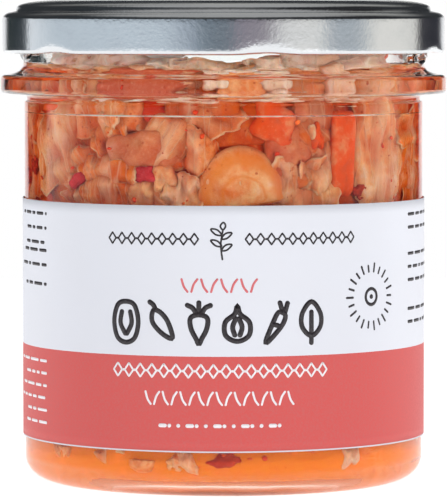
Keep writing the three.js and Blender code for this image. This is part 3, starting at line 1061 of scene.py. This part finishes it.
class JAR_OT_print(bpy.types.Operator):
    """Print the label with pictures, borders and plain bars"""

    bl_idname = "jar.print_label"
    bl_label = "Print"

    def execute(self, context):
        draw = random.Random(7)
        # Rows and borders run from and to a distance across the label, at a height, in millimetres
        dark = big_row() + seal()
        dark += strokes(moved(sprig_picture(), -0.4, 48.0, 0.98), 0.34)
        dark += diamond_row(-22.8, -4.4, 48.4, 2.05, 2.1, 0.32)
        dark += diamond_row(3.8, 26.6, 48.4, 2.05, 2.1, 0.32)
        dark += fine_print(draw, -62, -40.4, [(52.2, 3), (45.2, 2), (38.8, 1)], 2.75, 0.62, True)
        dark += fine_print(draw, 43.6, 76, [(52.0, 2), (44.5, 3), (34.0, 2)], 2.5, 0.62)
        dark += fine_print(draw, -108, -70, [(52.0, 6), (34.5, 2)], 2.4, 0.6, False, (0.6, 1.0))
        dark += fine_print(draw, 82, 110, [(52.0, 4), (40.0, 4)], 2.4, 0.6, False, (0.6, 1.0))
        red = leaf_row(-8.2, 6.6, 39.8, 1.85, 2.3, 0.42)
        pale = diamond_row(-21.8, 20.4, 23.9, 2.35, 2.5, 0.36)
        pale += leaf_row(-15.2, 13.6, 18.8, 1.7, 2.3, 0.4)
        pale += bead_row(-12.8, 11.4, 13.7, 1.75, 0.72)
        pale += fine_print(draw, -62, -40.4, [(24.2, 6)], 2.35, 0.55, True, (0.35, 0.8))
        pale += fine_print(draw, 82, 110, [(23.6, 5)], 2.35, 0.55, False, (0.6, 1.0))
        finished("print_dark", joined(dark), ink("dark_ink", colours().ink), "label_print")
        finished("print_red", joined(red), ink("red_ink", colours().red_ink), "label_print")
        finished("print_pale", joined(pale), ink("pale_ink", PALE_INK), "label_print")
        return {"FINISHED"}


class JAR_OT_brine(bpy.types.Operator):
    """Pour the brine, just into the glass so that no air shows"""

    bl_idname = "jar.pour_brine"
    bl_label = "Brine"

    def execute(self, context):
        level = sizes().brine_level
        wall_r = bore_radius(level) + INTO_WALL
        climb = (0.0, 0.35, 0.6, 0.8, 0.92, 1.0)  # shares of the way up the brine's curved rim
        top = [(wall_r - BRINE_CREEP * 3 * (1 - k), level + BRINE_CREEP * (k**3)) for k in climb]
        outline = [(0.0, level)] + [(wall_r * k, level) for k in (0.3, 0.6, 0.85)] + top
        outline += filled_in(inner_outline(INTO_WALL, level), 2.5 * MM)
        bm = spun(outline, 192)
        bmesh.ops.recalc_face_normals(bm, faces=bm.faces)
        for vert in bm.verts:
            r = math.hypot(vert.co.x, vert.co.y)
            if vert.co.z > level - 0.01 * MM and r < wall_r - 0.2 * MM:
                vert.co.z += 0.25 * MM * noise.noise(vert.co / (7 * MM))
        for face in bm.faces:
            z = face.calc_center_median().z
            if face.normal.z < 0.5 or z < level - 2 * MM:
                face.material_index = 1
            # The brine's rim, where it climbs the glass, carries the painted highlight
            if z > level + 0.1 * MM and abs(face.normal.z) < 0.3:
                face.material_index = 2
        brine = finished("brine", bm, clear_brine("brine_surface", BRINE_IOR), "brine")
        brine.data.materials.append(clear_brine("brine_at_glass", 1.0))
        brine.data.materials.append(brine_line())
        let_light_in(brine)
        return {"FINISHED"}


def half_reach(turn, seed):
    """A half-moon: an arc above, cut straight below the middle."""
    down = -math.sin(turn)
    return 1.0 if down < 0.12 else min(1.0, 0.12 / down)


def stick_reach(turn, seed):
    """A cut stick with nearly square corners."""
    c, s = abs(math.cos(turn)), abs(math.sin(turn))
    return (c**9 + s**9) ** (-1 / 9)


def block_reach(turn, seed):
    """A cut block with rounded corners, no two alike."""
    c, s = abs(math.cos(turn)), abs(math.sin(turn))
    skew = noise.noise(Vector((1.1 * math.cos(turn), 1.1 * math.sin(turn), seed)))
    return (c**4.5 + s**4.5) ** (-1 / 4.5) * (0.9 + 0.4 * skew)


def torn_reach(turn, seed):
    """A torn leaf: broad lobes with an uneven rim."""
    c, s = math.cos(turn), math.sin(turn)
    broad = noise.noise(Vector((1.2 * c, 1.2 * s, seed)))
    lobes = noise.noise(Vector((3.4 * c, 3.4 * s, seed)))
    teeth = noise.noise(Vector((9 * c, 9 * s, seed)))
    return 0.95 + 0.5 * broad + 0.16 * lobes + 0.05 * teeth


# Each kind: its outline, then in millimetres its thickness, how wavy it is, how far its rim bends
# inwards, and how ruffled the rim is
KINDS = {
    "cabbage": (torn_reach, 0.95, 2.4, 0.4, 0.9),
    "rib": (block_reach, 3.0, 0.9, 0.7, 0.4),
    "daikon": (block_reach, 2.6, 1.0, 0.8, 0.1),
    "halfmoon": (half_reach, 2.2, 0.9, 0.5, 0.3),
    "carrot": (stick_reach, 2.8, 0.3, 0.3, 0.0),
    "slice": (block_reach, 2.4, 0.8, 0.9, 0.5),
    "chilli": (torn_reach, 0.6, 0.9, 0.8, 0.6),
    "radish": (block_reach, 2.0, 0.3, 0.6, 0.2),
}
CUT_FROM = {"rib": "cabbage", "halfmoon": "daikon", "slice": "carrot"}
COARSE, FINE = 15, 28  # grid cells across a piece


def slab(kind, seat, seed, wide, high, cells):
    """One piece of food with a rounded rim. seat places each point, from its x, y and depth."""
    outline, *measures = KINDS[kind]
    thick, wave, curl, ruffle = (measure * MM for measure in measures)
    bm = bmesh.new()
    bmesh.ops.create_grid(bm, x_segments=cells, y_segments=cells, size=1)
    made = bmesh.ops.extrude_face_region(bm, geom=bm.faces[:], use_keep_orig=True)
    backs = {item for item in made["geom"] if isinstance(item, bmesh.types.BMVert)}
    local = bm.verts.layers.float_vector.new("local")
    edge = bm.verts.layers.float.new("edge")
    bm.verts.layers.float.new("stain")
    bm.verts.layers.float.new("blush")
    rings = bm.verts.layers.float.new("rings")
    for vert in bm.verts:
        u, v = vert.co.x, vert.co.y
        out = max(abs(u), abs(v))
        turn = math.atan2(v, u)
        reach = out * outline(turn, seed)
        x, y = reach * math.cos(turn), reach * math.sin(turn)
        fold = noise.noise(Vector((x * 1.5, y * 1.0, seed * 3.7)))
        crease = noise.noise(Vector((x * 3.8, y * 1.9, seed * 5.1)))
        frill = noise.noise(Vector((3.3 * math.cos(turn), 3.3 * math.sin(turn), seed * 2.3)))
        full = math.sqrt(max(0.0, 1 - out**8)) * 0.8 + 0.2
        depth = wave * (0.4 + fold + 0.5 * crease) + curl * out**3
        depth += ruffle * min(1.0, wide / 16) * frill * out**2
        depth += thick * (0.5 + (0.5 if vert in backs else -0.5) * full)
        vert[local] = (x * wide / 2 * MM, y * high / 2 * MM, seed * 5 * MM)
        vert[edge] = out
        vert[rings] = 1.0 if kind == "halfmoon" else 0.0
        vert.co = seat(x, y, depth)
    return bm


def colour_piece(bm, stain, blush, seed):
    """Stain and blush, stronger toward one side of the piece."""
    local = bm.verts.layers.float_vector["local"]
    stain_layer = bm.verts.layers.float["stain"]
    blush_layer = bm.verts.layers.float["blush"]
    lean = Vector((math.cos(seed * 9), math.sin(seed * 9), 0)) / (12 * MM)
    for vert in bm.verts:
        drift = Vector(vert[local]).dot(lean)
        vert[stain_layer] = stain + 0.3 * drift
        vert[blush_layer] = blush - 0.2 * drift
    return bm


def against_glass(kind, angle, z, wide, high, turn, sunk, stain, blush, seed, cells):
    """A piece against the glass. angle is in degrees from the front, and the sizes are millimetres."""
    cos_turn, sin_turn = math.cos(math.radians(turn)), math.sin(math.radians(turn))

    def seat(x, y, depth):
        across, up = x * wide / 2, y * high / 2
        height = (z + across * sin_turn + up * cos_turn) * MM
        height = min(max(height, FLOOR_EDGE_Z + 0.5 * MM), FOOD_REACH)
        r = bore_radius(height) - TOUCH - max(0.0, sunk * MM + depth)
        round_by = math.radians(angle) + (across * cos_turn - up * sin_turn) * MM / bore_radius(40 * MM)
        return Vector((r * math.sin(round_by), -r * math.cos(round_by), height))

    return colour_piece(slab(kind, seat, seed, wide, high, cells), stain, blush, seed)


def lying(kind, x, y, z, wide, high, tip, seed, stain, blush, cells):
    """A piece that lies on the heap, tipped a little."""
    about_x, about_y, about_z = (Matrix.Rotation(turn, 3, axis) for turn, axis in zip(tip, "XYZ"))
    tilt = about_x @ about_y @ about_z

    def seat(px, py, depth):
        return tilt @ Vector((px * wide / 2 * MM, py * high / 2 * MM, -depth)) + Vector((x, y, z)) * MM

    return colour_piece(slab(kind, seat, seed, wide, high, cells), stain, blush, seed)


# The pieces that show at the front: kind, degrees from the front, height, width, tall, turn, how deep
# each sits, stain and blush, in degrees and millimetres
FRONT = [
    ("cabbage", -57, 64.0, 18.0, 15.0, 12, 0.3, 0.05, 0.45),
    ("cabbage", -49, 71.5, 20.0, 10.0, 0, 0.7, 0.55, 0.10),
    ("cabbage", -37, 67.9, 9.0, 8.6, 20, 0.3, 0.75, 0.0),
    ("daikon", -32, 70.3, 10.0, 6.2, 0, 0.8, 0.6, 0.0),
    ("daikon", -27, 64.5, 16.0, 8.2, 8, 0.1, 0.1, 0.8),
    ("daikon", -18, 59.8, 5.4, 5.2, 10, 0.1, 0.0, 0.35),
    ("cabbage", -37, 60.5, 14.0, 8.4, 0, 0.1, 0.8, 0.0),
    ("cabbage", -50, 56.2, 8.0, 6.6, 0, 0.2, 0.0, 0.3),
    ("cabbage", -37, 56.0, 17.0, 9.0, 0, 0.8, 0.7, 0.2),
    ("daikon", -25, 56.3, 6.6, 6.0, 0, 0.4, 0.3, 0.3),
    ("cabbage", -13, 57.6, 9.6, 9.0, 0, 0.0, 0.0, 0.1),
    ("rib", -18, 65.8, 9.6, 14.0, -30, 0.5, 0.15, 0.2),
    ("cabbage", -9, 64.7, 11.2, 10.2, 0, 0.1, 0.5, 0.0),
    ("cabbage", -10, 71.0, 19.5, 10.6, 0, 1.0, 0.4, 0.4),
    ("cabbage", -3, 58.8, 10.4, 13.2, 0, 0.9, 0.8, 0.05),
    ("daikon", 20, 64.6, 10.0, 8.2, 20, 0.6, 0.3, 0.9),
    ("halfmoon", 6, 55.2, 17.5, 21.0, 10, 0.0, 0.15, 0.0),
    ("cabbage", 25, 57.6, 16.0, 12.6, 0, 0.3, 0.05, 0.25),
    ("cabbage", 30, 62.2, 8.4, 15.0, 5, 0.1, 0.0, 0.2),
    ("cabbage", 53, 64.4, 18.0, 25.0, 0, 0.2, 0.15, 0.15),
    ("cabbage", 77, 67.4, 20.0, 10.0, 0, 0.3, 0.9, 0.0),
    ("cabbage", 77, 59.3, 20.0, 14.0, 0, 0.6, 1.1, 0.1),
    ("rib", 29, 71.2, 10.0, 8.6, 0, 1.2, 0.3, 0.7),
    ("cabbage", -79, 67.4, 19.0, 10.0, 0, 0.4, 1.3, 0.0),
    ("cabbage", -78, 58.9, 19.0, 14.5, 0, 0.6, 1.3, 0.2),
    ("slice", 15, 69.6, 10.4, 8.6, -25, 0.2, 0.8, 0.0),
    ("carrot", 38, 64.0, 5.6, 16.0, -2, 0.0, 0.35, 0.6),
    ("slice", 29, 67.4, 3.0, 5.6, 10, 0.2, 0.9, 0.0),
    ("chilli", 45, 56.8, 3.7, 3.4, 0, 0.1, 0.3, 1.0),
    ("chilli", -75, 60.8, 4.2, 3.4, 0, 0.1, 0.9, 0.5),
    ("radish", -24, 60.4, 5.0, 3.4, 0, 0.0, 0.2, 1.0),
    ("radish", -49, 58.9, 4.4, 2.8, 20, 0.1, 0.1, 0.7),
    ("chilli", 1, 7.4, 8.0, 3.8, 0, 0.1, 0.9, 0.2),
    ("daikon", 41, 6.9, 5.4, 5.4, 0, 0.0, -0.4, 0.0),
    ("cabbage", -11, 6.4, 10.0, 5.4, 0, 0.3, 0.3, 0.0),
    ("halfmoon", -25, 6.6, 6.6, 5.0, 178, 0.2, 0.3, 0.0),
    ("cabbage", -36, 6.8, 10.0, 6.4, 0, 0.5, 0.3, 0.0),
    ("halfmoon", -56, 8.0, 6.4, 5.0, 178, 0.2, 0.4, 0.0),
    # The next three near-white pieces stand in for the light seen through the clear space above the food:
    # painted light
    ("rib", -2, 77.5, 6.0, 3.4, 0, 0.0, -1.3, -0.5),
    ("rib", 14.5, 77.4, 8.0, 3.2, 0, 0.0, -1.3, -0.5),
    ("rib", 6, 78.0, 8.6, 2.6, 0, 0.0, -1.3, -0.5),
    ("daikon", 6, 76.4, 10.0, 4.0, 0, 0.1, 0.7, 0.0),
    ("cabbage", -53, 77.0, 13.0, 5.4, 0, 0.2, 0.6, 0.4),
    # Pale pieces in the neck's dark gaps, made pale to lift the shade there: painted light
    ("cabbage", -17, 80.4, 10.0, 3.4, 0, 0.2, -0.9, -0.3),
    ("cabbage", 13, 80.5, 9.0, 3.2, 0, 0.2, -0.9, -0.3),
    # Near-white strips just under the glass's shoulder make its wavy white lines: painted highlight
    ("cabbage", -34, 74.4, 13.0, 3.4, 4, 0.0, -1.2, -0.3),
    ("cabbage", -9, 74.2, 15.0, 3.2, -4, 0.0, -1.3, -0.3),
    ("cabbage", 15, 74.4, 13.0, 3.4, 5, 0.0, -1.3, -0.3),
    ("cabbage", 38, 74.3, 12.0, 3.2, -3, 0.0, -1.1, -0.3),
    ("daikon", -24, 76.8, 21.0, 5.4, 0, 0.0, 0.8, 1.6),
]


NECK_FROM = 75  # millimetres up, where the neck begins
SIDE_GAP = 3.2  # how much deeper the pieces sit at the neck's sides, where clear glass shows
LOOSE_PIECES = 34


def random_places(draw):
    """More places in the jar, as (angle, height, depth): behind the front, at the back and foot."""
    places = []
    for z, spread_z in ((57.5, 2.4), (64.5, 2.0), (71.0, 1.6)):
        for i in range(14):
            angle = -180 + i * 360 / 14 + draw.uniform(-9, 9)
            sunk = draw.uniform(1.3, 2.4) if abs(angle) < 86 else draw.uniform(0.0, 1.4)
            places.append((angle, z + draw.uniform(-spread_z, spread_z), sunk))
    for z in (77.0, 82.0):
        for i in range(20):
            angle = -180 + i * 18 + draw.uniform(-5, 5)
            if z < 80 or not in_notch(angle):
                height, sunk = z + draw.uniform(-1.2, 1.2), draw.uniform(0.0, 1.5)
                at_side = 68 < abs(angle) < 108
                places.append((angle, height, sunk + (SIDE_GAP if at_side else 0.0)))
    for i in range(9):
        angle = 90 + i * 22 + draw.uniform(-8, 8)
        places.append((angle, draw.uniform(6.0, 9.0), draw.uniform(0.1, 0.9)))
    for z in range(14, 54, 6):
        for angle in (172, 181, 190):
            places.append((angle + draw.uniform(-4, 4), z + draw.uniform(-2, 2), draw.uniform(0.0, 1.4)))
    return places


def in_notch(angle):
    """Whether an angle lies in the low part of the heap, at the front or right behind it."""
    turn = (angle + 180) % 360 - 180
    behind = (180 - turn + 180) % 360 - 180
    return NOTCH["from"] < turn < NOTCH["to"] or NOTCH["from"] < behind < NOTCH["to"]


def random_kind(draw, in_neck):
    """Mostly cabbage, and nothing dark up in the neck."""
    kinds = ["cabbage", "rib", "daikon", "halfmoon", "carrot", "chilli", "radish"]
    shares = [60, 15, 5, 0, 8, 0, 0] if in_neck else [46, 10, 18, 8, 10, 5, 3]
    return draw.choices(kinds, shares)[0]


# Each kind's least and greatest width, then the same for its height, in millimetres
SPANS = {
    "cabbage": ((16, 23), (12, 18)),
    "rib": ((7, 11), (9, 14)),
    "daikon": ((9, 16), (8, 13)),
    "halfmoon": ((13, 18), (11, 15)),
    "carrot": ((4, 5.4), (10, 16)),
    "chilli": ((3, 7), (2.5, 4.5)),
    "radish": ((3.5, 6), (2.5, 4)),
}


def packed_piece(draw, place, seed):
    """One of the random pieces against the glass, as (kind, mesh)."""
    angle, z, sunk = place
    in_neck = z > NECK_FROM
    kind = random_kind(draw, in_neck)
    wide, high = (draw.uniform(*span) for span in SPANS[kind])
    if z < 12 or in_neck:
        high = min(high, 7.5)
    turn = draw.uniform(-40, 40) * (0.3 if in_neck else 1)
    stain, blush = draw.uniform(0.0, 0.8), draw.choice((0.0, 0.1, 0.2, 0.5, 0.7))
    # In the neck the pieces are made paler, and paler still near the lid: painted light that lifts the shade
    # under the lid
    if in_neck:
        stain, blush = stain - (0.7 if z < 79 else 1.2), blush * 0.4
    return kind, against_glass(kind, angle, z, wide, high, turn, sunk, stain, blush, seed, COARSE)


def loose_piece(draw, seed):
    """One of the pieces that lie on top of the heap, as (kind, mesh)."""
    kind = draw.choice(("cabbage", "cabbage", "rib", "daikon", "carrot"))
    ring, round_by = 30 * math.sqrt(draw.random()), draw.uniform(0, 2 * math.pi)
    wide, high = (draw.uniform(*span) * 0.85 for span in SPANS[kind])
    ring = min(ring, 33.5 - max(wide, high) / 2)
    tip = (draw.uniform(-0.25, 0.25), draw.uniform(-0.25, 0.25), draw.uniform(0, 6.28))
    x, y, z = ring * math.cos(round_by), ring * math.sin(round_by), 78.0 + draw.uniform(-0.6, 0.6)
    z += min(4.0, max(0.0, abs(x - 2) - 13)) * 0.9
    stain, blush = draw.uniform(0.1, 0.8), draw.uniform(0, 0.4)
    return kind, lying(kind, x, y, z, wide, high, tip, seed, stain, blush, COARSE)


def all_pieces():
    """Every piece of food as (kind, mesh)."""
    draw = random.Random(23)
    pieces = []
    for i, (kind, *place) in enumerate(FRONT):
        pieces.append((kind, against_glass(kind, *place, 0.37 + i * 1.13, FINE)))
    for i, place in enumerate(random_places(draw)):
        pieces.append(packed_piece(draw, place, 50.3 + i * 0.71))
    for i in range(LOOSE_PIECES):
        pieces.append(loose_piece(draw, 140.9 + i * 0.93))
    return pieces


class JAR_OT_food(bpy.types.Operator):
    """Pack the cabbage, daikon, carrot, chilli and radish against the glass"""

    bl_idname = "jar.pack_food"
    bl_label = "Food"

    def execute(self, context):
        groups = {}
        for kind, bm in all_pieces():
            groups.setdefault(CUT_FROM.get(kind, kind), []).append(bm)
        materials = {
            "cabbage": cabbage_flesh(),
            "daikon": daikon_flesh(),
            "carrot": plain_flesh("carrot_flesh", colours().carrot, *CARROT_SHADES),
            "chilli": plain_flesh("chilli_skin", colours().chilli, *CHILLI_SHADES),
            "radish": plain_flesh("radish_skin", colours().radish, *RADISH_SHADES),
        }
        for kind, parts in groups.items():
            finished(kind + "_pieces", joined(parts), materials[kind], "pickled_vegetables", "kimchi")
        return {"FINISHED"}


class JAR_OT_core(bpy.types.Operator):
    """Fill the middle of the jar with a mass of packed leaves"""

    bl_idname = "jar.fill_core"
    bl_label = "Core"

    def execute(self, context):
        across, up = FLOOR_CORNER["across"], FLOOR_CORNER["up"]
        foot = FLOOR_EDGE_Z + FOOT_GAP["under"]
        foot_r = bore_radius(40 * MM) - FOOT_GAP["side"] - across
        outline = [(0.0, FOOD_TOP + 0.5 * MM), (CORE_R * 0.5, FOOD_TOP + 0.2 * MM)]
        outline += [(CORE_R - 3 * MM, FOOD_TOP - 0.5 * MM), (CORE_R, FOOD_TOP - 3 * MM)]
        outline += [(CORE_R, MURK_Z), (foot_r + across, MURK_Z - MURK_FADE)]
        outline += arc(foot_r, foot + up, across, up, 0, -90, 8)
        outline += [(foot_r * 0.5, FLOOR_MID_Z), (0.0, FLOOR_MID_Z + FOOT_GAP["under"])]
        bm = spun(filled_in(outline, 1.3 * MM), 150)
        for name in ("stain", "blush", "edge"):
            bm.verts.layers.float.new(name)
        local = bm.verts.layers.float_vector.new("local")
        stain, blush = bm.verts.layers.float["stain"], bm.verts.layers.float["blush"]
        for vert in bm.verts:
            place = vert.co / (6 * MM)
            lump = noise.turbulence(place, 3, True)
            flat = Vector((vert.co.x, vert.co.y, 0))
            vert[local] = vert.co
            murk = min(1.0, max(0.0, (MURK_Z - vert.co.z) / MURK_FADE))
            vert[stain] = 0.65 + 1.7 * murk + 0.6 * noise.noise(place * 0.8)
            vert[blush] = (1 - murk) * (0.25 + 0.7 * noise.noise(place * 0.5 + Vector((4, 1, 7))))
            if flat.length > 2 * MM and vert.co.z > FLOOR_MID_Z + 2 * MM:
                vert.co += flat.normalized() * (lump - 0.6) * (2.4 - 2.0 * murk) * MM
                vert.co.z += min(0.0, (lump - 0.9)) * 1.2 * MM
        finished("packed_core", bm, cabbage_flesh(), "pickled_vegetables", "kimchi")
        return {"FINISHED"}


def chilli_flake(draw):
    """One flake or seed against the glass, in the food's band or at the foot."""
    band = draw.random()
    z = draw.uniform(*FLAKES["upper"]) if band < FLAKES["share"] else draw.uniform(*FLAKES["lower"])
    angle = draw.uniform(-180, 180)
    size = draw.choice(FLAKES["sizes"]) * MM
    r = bore_radius(z * MM) - TOUCH - size * 0.5 - draw.uniform(0, 1.2) * MM
    bm = bmesh.new()
    bmesh.ops.create_icosphere(bm, subdivisions=1, radius=size)
    bmesh.ops.scale(bm, vec=(1, draw.uniform(0.25, 0.5), draw.uniform(0.5, 0.9)), verts=bm.verts)
    tip = Matrix.Rotation(draw.uniform(-1, 1), 3, "Y")
    bmesh.ops.rotate(bm, cent=(0, 0, 0), matrix=tip, verts=bm.verts)
    for vert in bm.verts:
        vert.co *= 1 + 0.5 * noise.noise(vert.co / size + Vector((angle, z, 0)))
    turn = math.radians(angle)
    bmesh.ops.rotate(bm, cent=(0, 0, 0), matrix=Matrix.Rotation(turn, 3, "Z"), verts=bm.verts)
    bmesh.ops.translate(bm, vec=(r * math.sin(turn), -r * math.cos(turn), z * MM), verts=bm.verts)
    return bm


class JAR_OT_flakes(bpy.types.Operator):
    """Scatter chilli flakes and seeds against the glass"""

    bl_idname = "jar.scatter_flakes"
    bl_label = "Flakes"

    def execute(self, context):
        draw = random.Random(41)
        flakes = [chilli_flake(draw) for _ in range(FLAKES["count"])]
        material = plain_flesh("chilli_flake", *FLAKE_SHADES)
        finished("chilli_flakes", joined(flakes), material, "pickled_vegetables", "kimchi")
        return {"FINISHED"}


# Light round the jar: degrees from the camera's side, right positive, and its colour
SURROUND = [
    (-180, (1.05, 1.05, 1.05)),
    (-158, (1.00, 1.00, 1.02)),
    (-154, (0.03, 0.04, 0.04)),
    (-124, (0.03, 0.04, 0.05)),
    (-121, (0.94, 0.98, 1.02)),
    (-98, (0.65, 0.73, 0.80)),
    (-30, (0.65, 0.74, 0.82)),
    (-18, (0.44, 0.51, 0.59)),
    (-9, (0.20, 0.25, 0.30)),
    (3, (0.20, 0.24, 0.28)),
    (8, (0.31, 0.28, 0.33)),
    (22, (0.34, 0.31, 0.35)),
    (31, (0.95, 0.94, 0.92)),
    (50, (0.92, 0.91, 0.88)),
    (58, (0.48, 0.53, 0.57)),
    (74, (0.51, 0.56, 0.60)),
    (84, (0.94, 0.92, 0.87)),
    (118, (0.92, 0.90, 0.85)),
    (122, (0.03, 0.03, 0.04)),
    (154, (0.03, 0.03, 0.04)),
    (158, (1.00, 1.00, 1.02)),
    (180, (1.05, 1.05, 1.05)),
]
CEILING = [
    (-180, (0.44, 0.44, 0.42)),
    (-168, (0.32, 0.32, 0.31)),
    (-150, (0.08, 0.08, 0.08)),
    (-115, (0.03, 0.035, 0.04)),
    (-50, (0.05, 0.055, 0.06)),
    (-16, (0.12, 0.12, 0.12)),
    (14, (0.12, 0.12, 0.12)),
    (44, (0.025, 0.026, 0.028)),
    (115, (0.03, 0.03, 0.032)),
    (145, (0.30, 0.30, 0.29)),
    (180, (0.44, 0.44, 0.42)),
]

DIM_GAP = (0.035, 0.038, 0.042)
OVERHEAD = (0.42, 0.42, 0.42)
FROM_BELOW = (0.9, 0.9, 0.9)
WHITE = (1.0, 1.0, 1.0)

# Each lamp: degrees from the front, height in metres and share of the full power
LAMPS = ((-54, 0.2, 1.05), (50, 0.2, 1.35), (-128, 0.3, 0.6), (128, 0.3, 0.6))
LAMP_FAR = 1.1
TABLE_HALF = 0.6
LAMP_WIDE = 0.7


def round_stops(colours):
    return [((degrees + 180) / 360, colour) for degrees, colour in colours]


def studio_world():
    """White to the camera; softboxes, dark gaps and a dim ceiling to everything else."""
    world = bpy.data.worlds.new("studio")
    bpy.context.scene.world = world
    shader = Shader(world)
    direction = shader.field(shader.node("TexCoord"), "Generated")
    x, y, z = shader.parts(direction)
    turn = shader.maths("ARCTAN2", x, y * -1.0) / (2 * math.pi) + 0.5
    ceiling = shader.ramp(turn, round_stops(CEILING))
    overhead = shader.blend(shader.between(z, 0.38, 0.60), DIM_GAP, ceiling)
    overhead = shader.blend(shader.between(z, 0.72, 0.94), overhead, OVERHEAD)
    surround = shader.ramp(turn, round_stops(SURROUND))
    light = shader.blend(shader.between(z, 0.06, 0.13), surround, overhead)
    light = shader.blend(shader.between(z, -0.25, -0.45), light, FROM_BELOW)
    seen = shader.field(shader.node("LightPath"), "Is Camera Ray")
    colour = shader.blend(seen, light, WHITE)
    strength = bpy.context.scene.studio_settings.light
    background = shader.node("Background", None, {"Color": colour, "Strength": strength})
    shader.node("OutputWorld", None, {"Surface": shader.field(background)})


def lamp(name, degrees, height, power):
    """A broad lamp aimed at the jar, which nothing mirrors."""
    light = bpy.data.lights.new(name, "AREA")
    light.size = LAMP_WIDE
    light.energy = power
    made = bpy.data.objects.new(name, light)
    turn = math.radians(degrees)
    made.location = (LAMP_FAR * math.sin(turn), -LAMP_FAR * math.cos(turn), height)
    aim = Vector((0, 0, 0.045)) - made.location
    made.rotation_euler = aim.to_track_quat("-Z", "Y").to_euler()
    made.visible_camera = False
    made.visible_glossy = False
    made.visible_transmission = False
    bpy.context.scene.collection.objects.link(made)


def table_top():
    """A pale lit table: light comes up through it as well."""
    material, shader = new_material("pale_table")
    cloud = shader.noise(shader.place(), 9, 3)
    colour = shader.blend(cloud, bpy.context.scene.studio_settings.table, CLOUDED_TABLE)
    lit = {"Specular IOR Level": 0.1, "Emission Color": (*WHITE, 1.0), "Emission Strength": 0.92}
    shader.surface(colour, 0.6, None, lit)
    return material


class JAR_OT_studio(bpy.types.Operator):
    """Set the table, the light and the camera"""

    bl_idname = "jar.set_studio"
    bl_label = "Studio"

    def execute(self, context):
        settings = context.scene.studio_settings
        bm = bmesh.new()
        bmesh.ops.create_grid(bm, x_segments=12, y_segments=12, size=TABLE_HALF)
        mesh = bpy.data.meshes.new("table")
        bm.to_mesh(mesh)
        bm.free()
        mesh.materials.append(table_top())
        table = bpy.data.objects.new("table", mesh)
        context.scene.collection.objects.link(table)
        studio_world()
        for i, (degrees, height, share) in enumerate(LAMPS):
            lamp("fill_%d" % i, degrees, height, settings.fill * share)
        camera = bpy.data.objects.new("camera", bpy.data.cameras.new("camera"))
        camera.data.lens = settings.lens
        camera.data.clip_start = 0.05
        camera.data.clip_end = 20.0
        camera.location = (0.0, -settings.distance, settings.height)
        camera.rotation_euler = (math.pi / 2 - settings.tilt, 0.0, 0.0)
        context.scene.collection.objects.link(camera)
        context.scene.camera = camera
        context.scene.view_settings.view_transform = "Standard"
        return {"FINISHED"}


STEPS = (
    JAR_OT_studio,
    JAR_OT_glass,
    JAR_OT_lid,
    JAR_OT_label,
    JAR_OT_print,
    JAR_OT_brine,
    JAR_OT_food,
    JAR_OT_core,
    JAR_OT_flakes,
)


class JAR_PT_panel(bpy.types.Panel):
    """Steps and settings of the jar"""

    bl_label = "Kimchi Jar"
    bl_idname = "JAR_PT_panel"
    bl_space_type = "VIEW_3D"
    bl_region_type = "UI"
    bl_category = "Kimchi Jar"

    def draw(self, context):
        for group in (context.scene.jar_sizes, context.scene.jar_colours, context.scene.studio_settings):
            box = self.layout.box()
            for name in group.__annotations__:
                box.prop(group, name)
        for step in STEPS:
            self.layout.operator(step.bl_idname)


CLASSES = (JarSizes, JarColours, StudioSettings, *STEPS, JAR_PT_panel)


def register():
    for item in CLASSES:
        bpy.utils.register_class(item)
    bpy.types.Scene.jar_sizes = bpy.props.PointerProperty(type=JarSizes)
    bpy.types.Scene.jar_colours = bpy.props.PointerProperty(type=JarColours)
    bpy.types.Scene.studio_settings = bpy.props.PointerProperty(type=StudioSettings)


def unregister():
    del bpy.types.Scene.studio_settings
    del bpy.types.Scene.jar_colours
    del bpy.types.Scene.jar_sizes
    for item in reversed(CLASSES):
        bpy.utils.unregister_class(item)


def main():
    """Registers the add-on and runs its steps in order."""
    register()
    for step in STEPS:
        group, name = step.bl_idname.split(".")
        getattr(getattr(bpy.ops, group), name)()


if __name__ == "__main__":
    main()
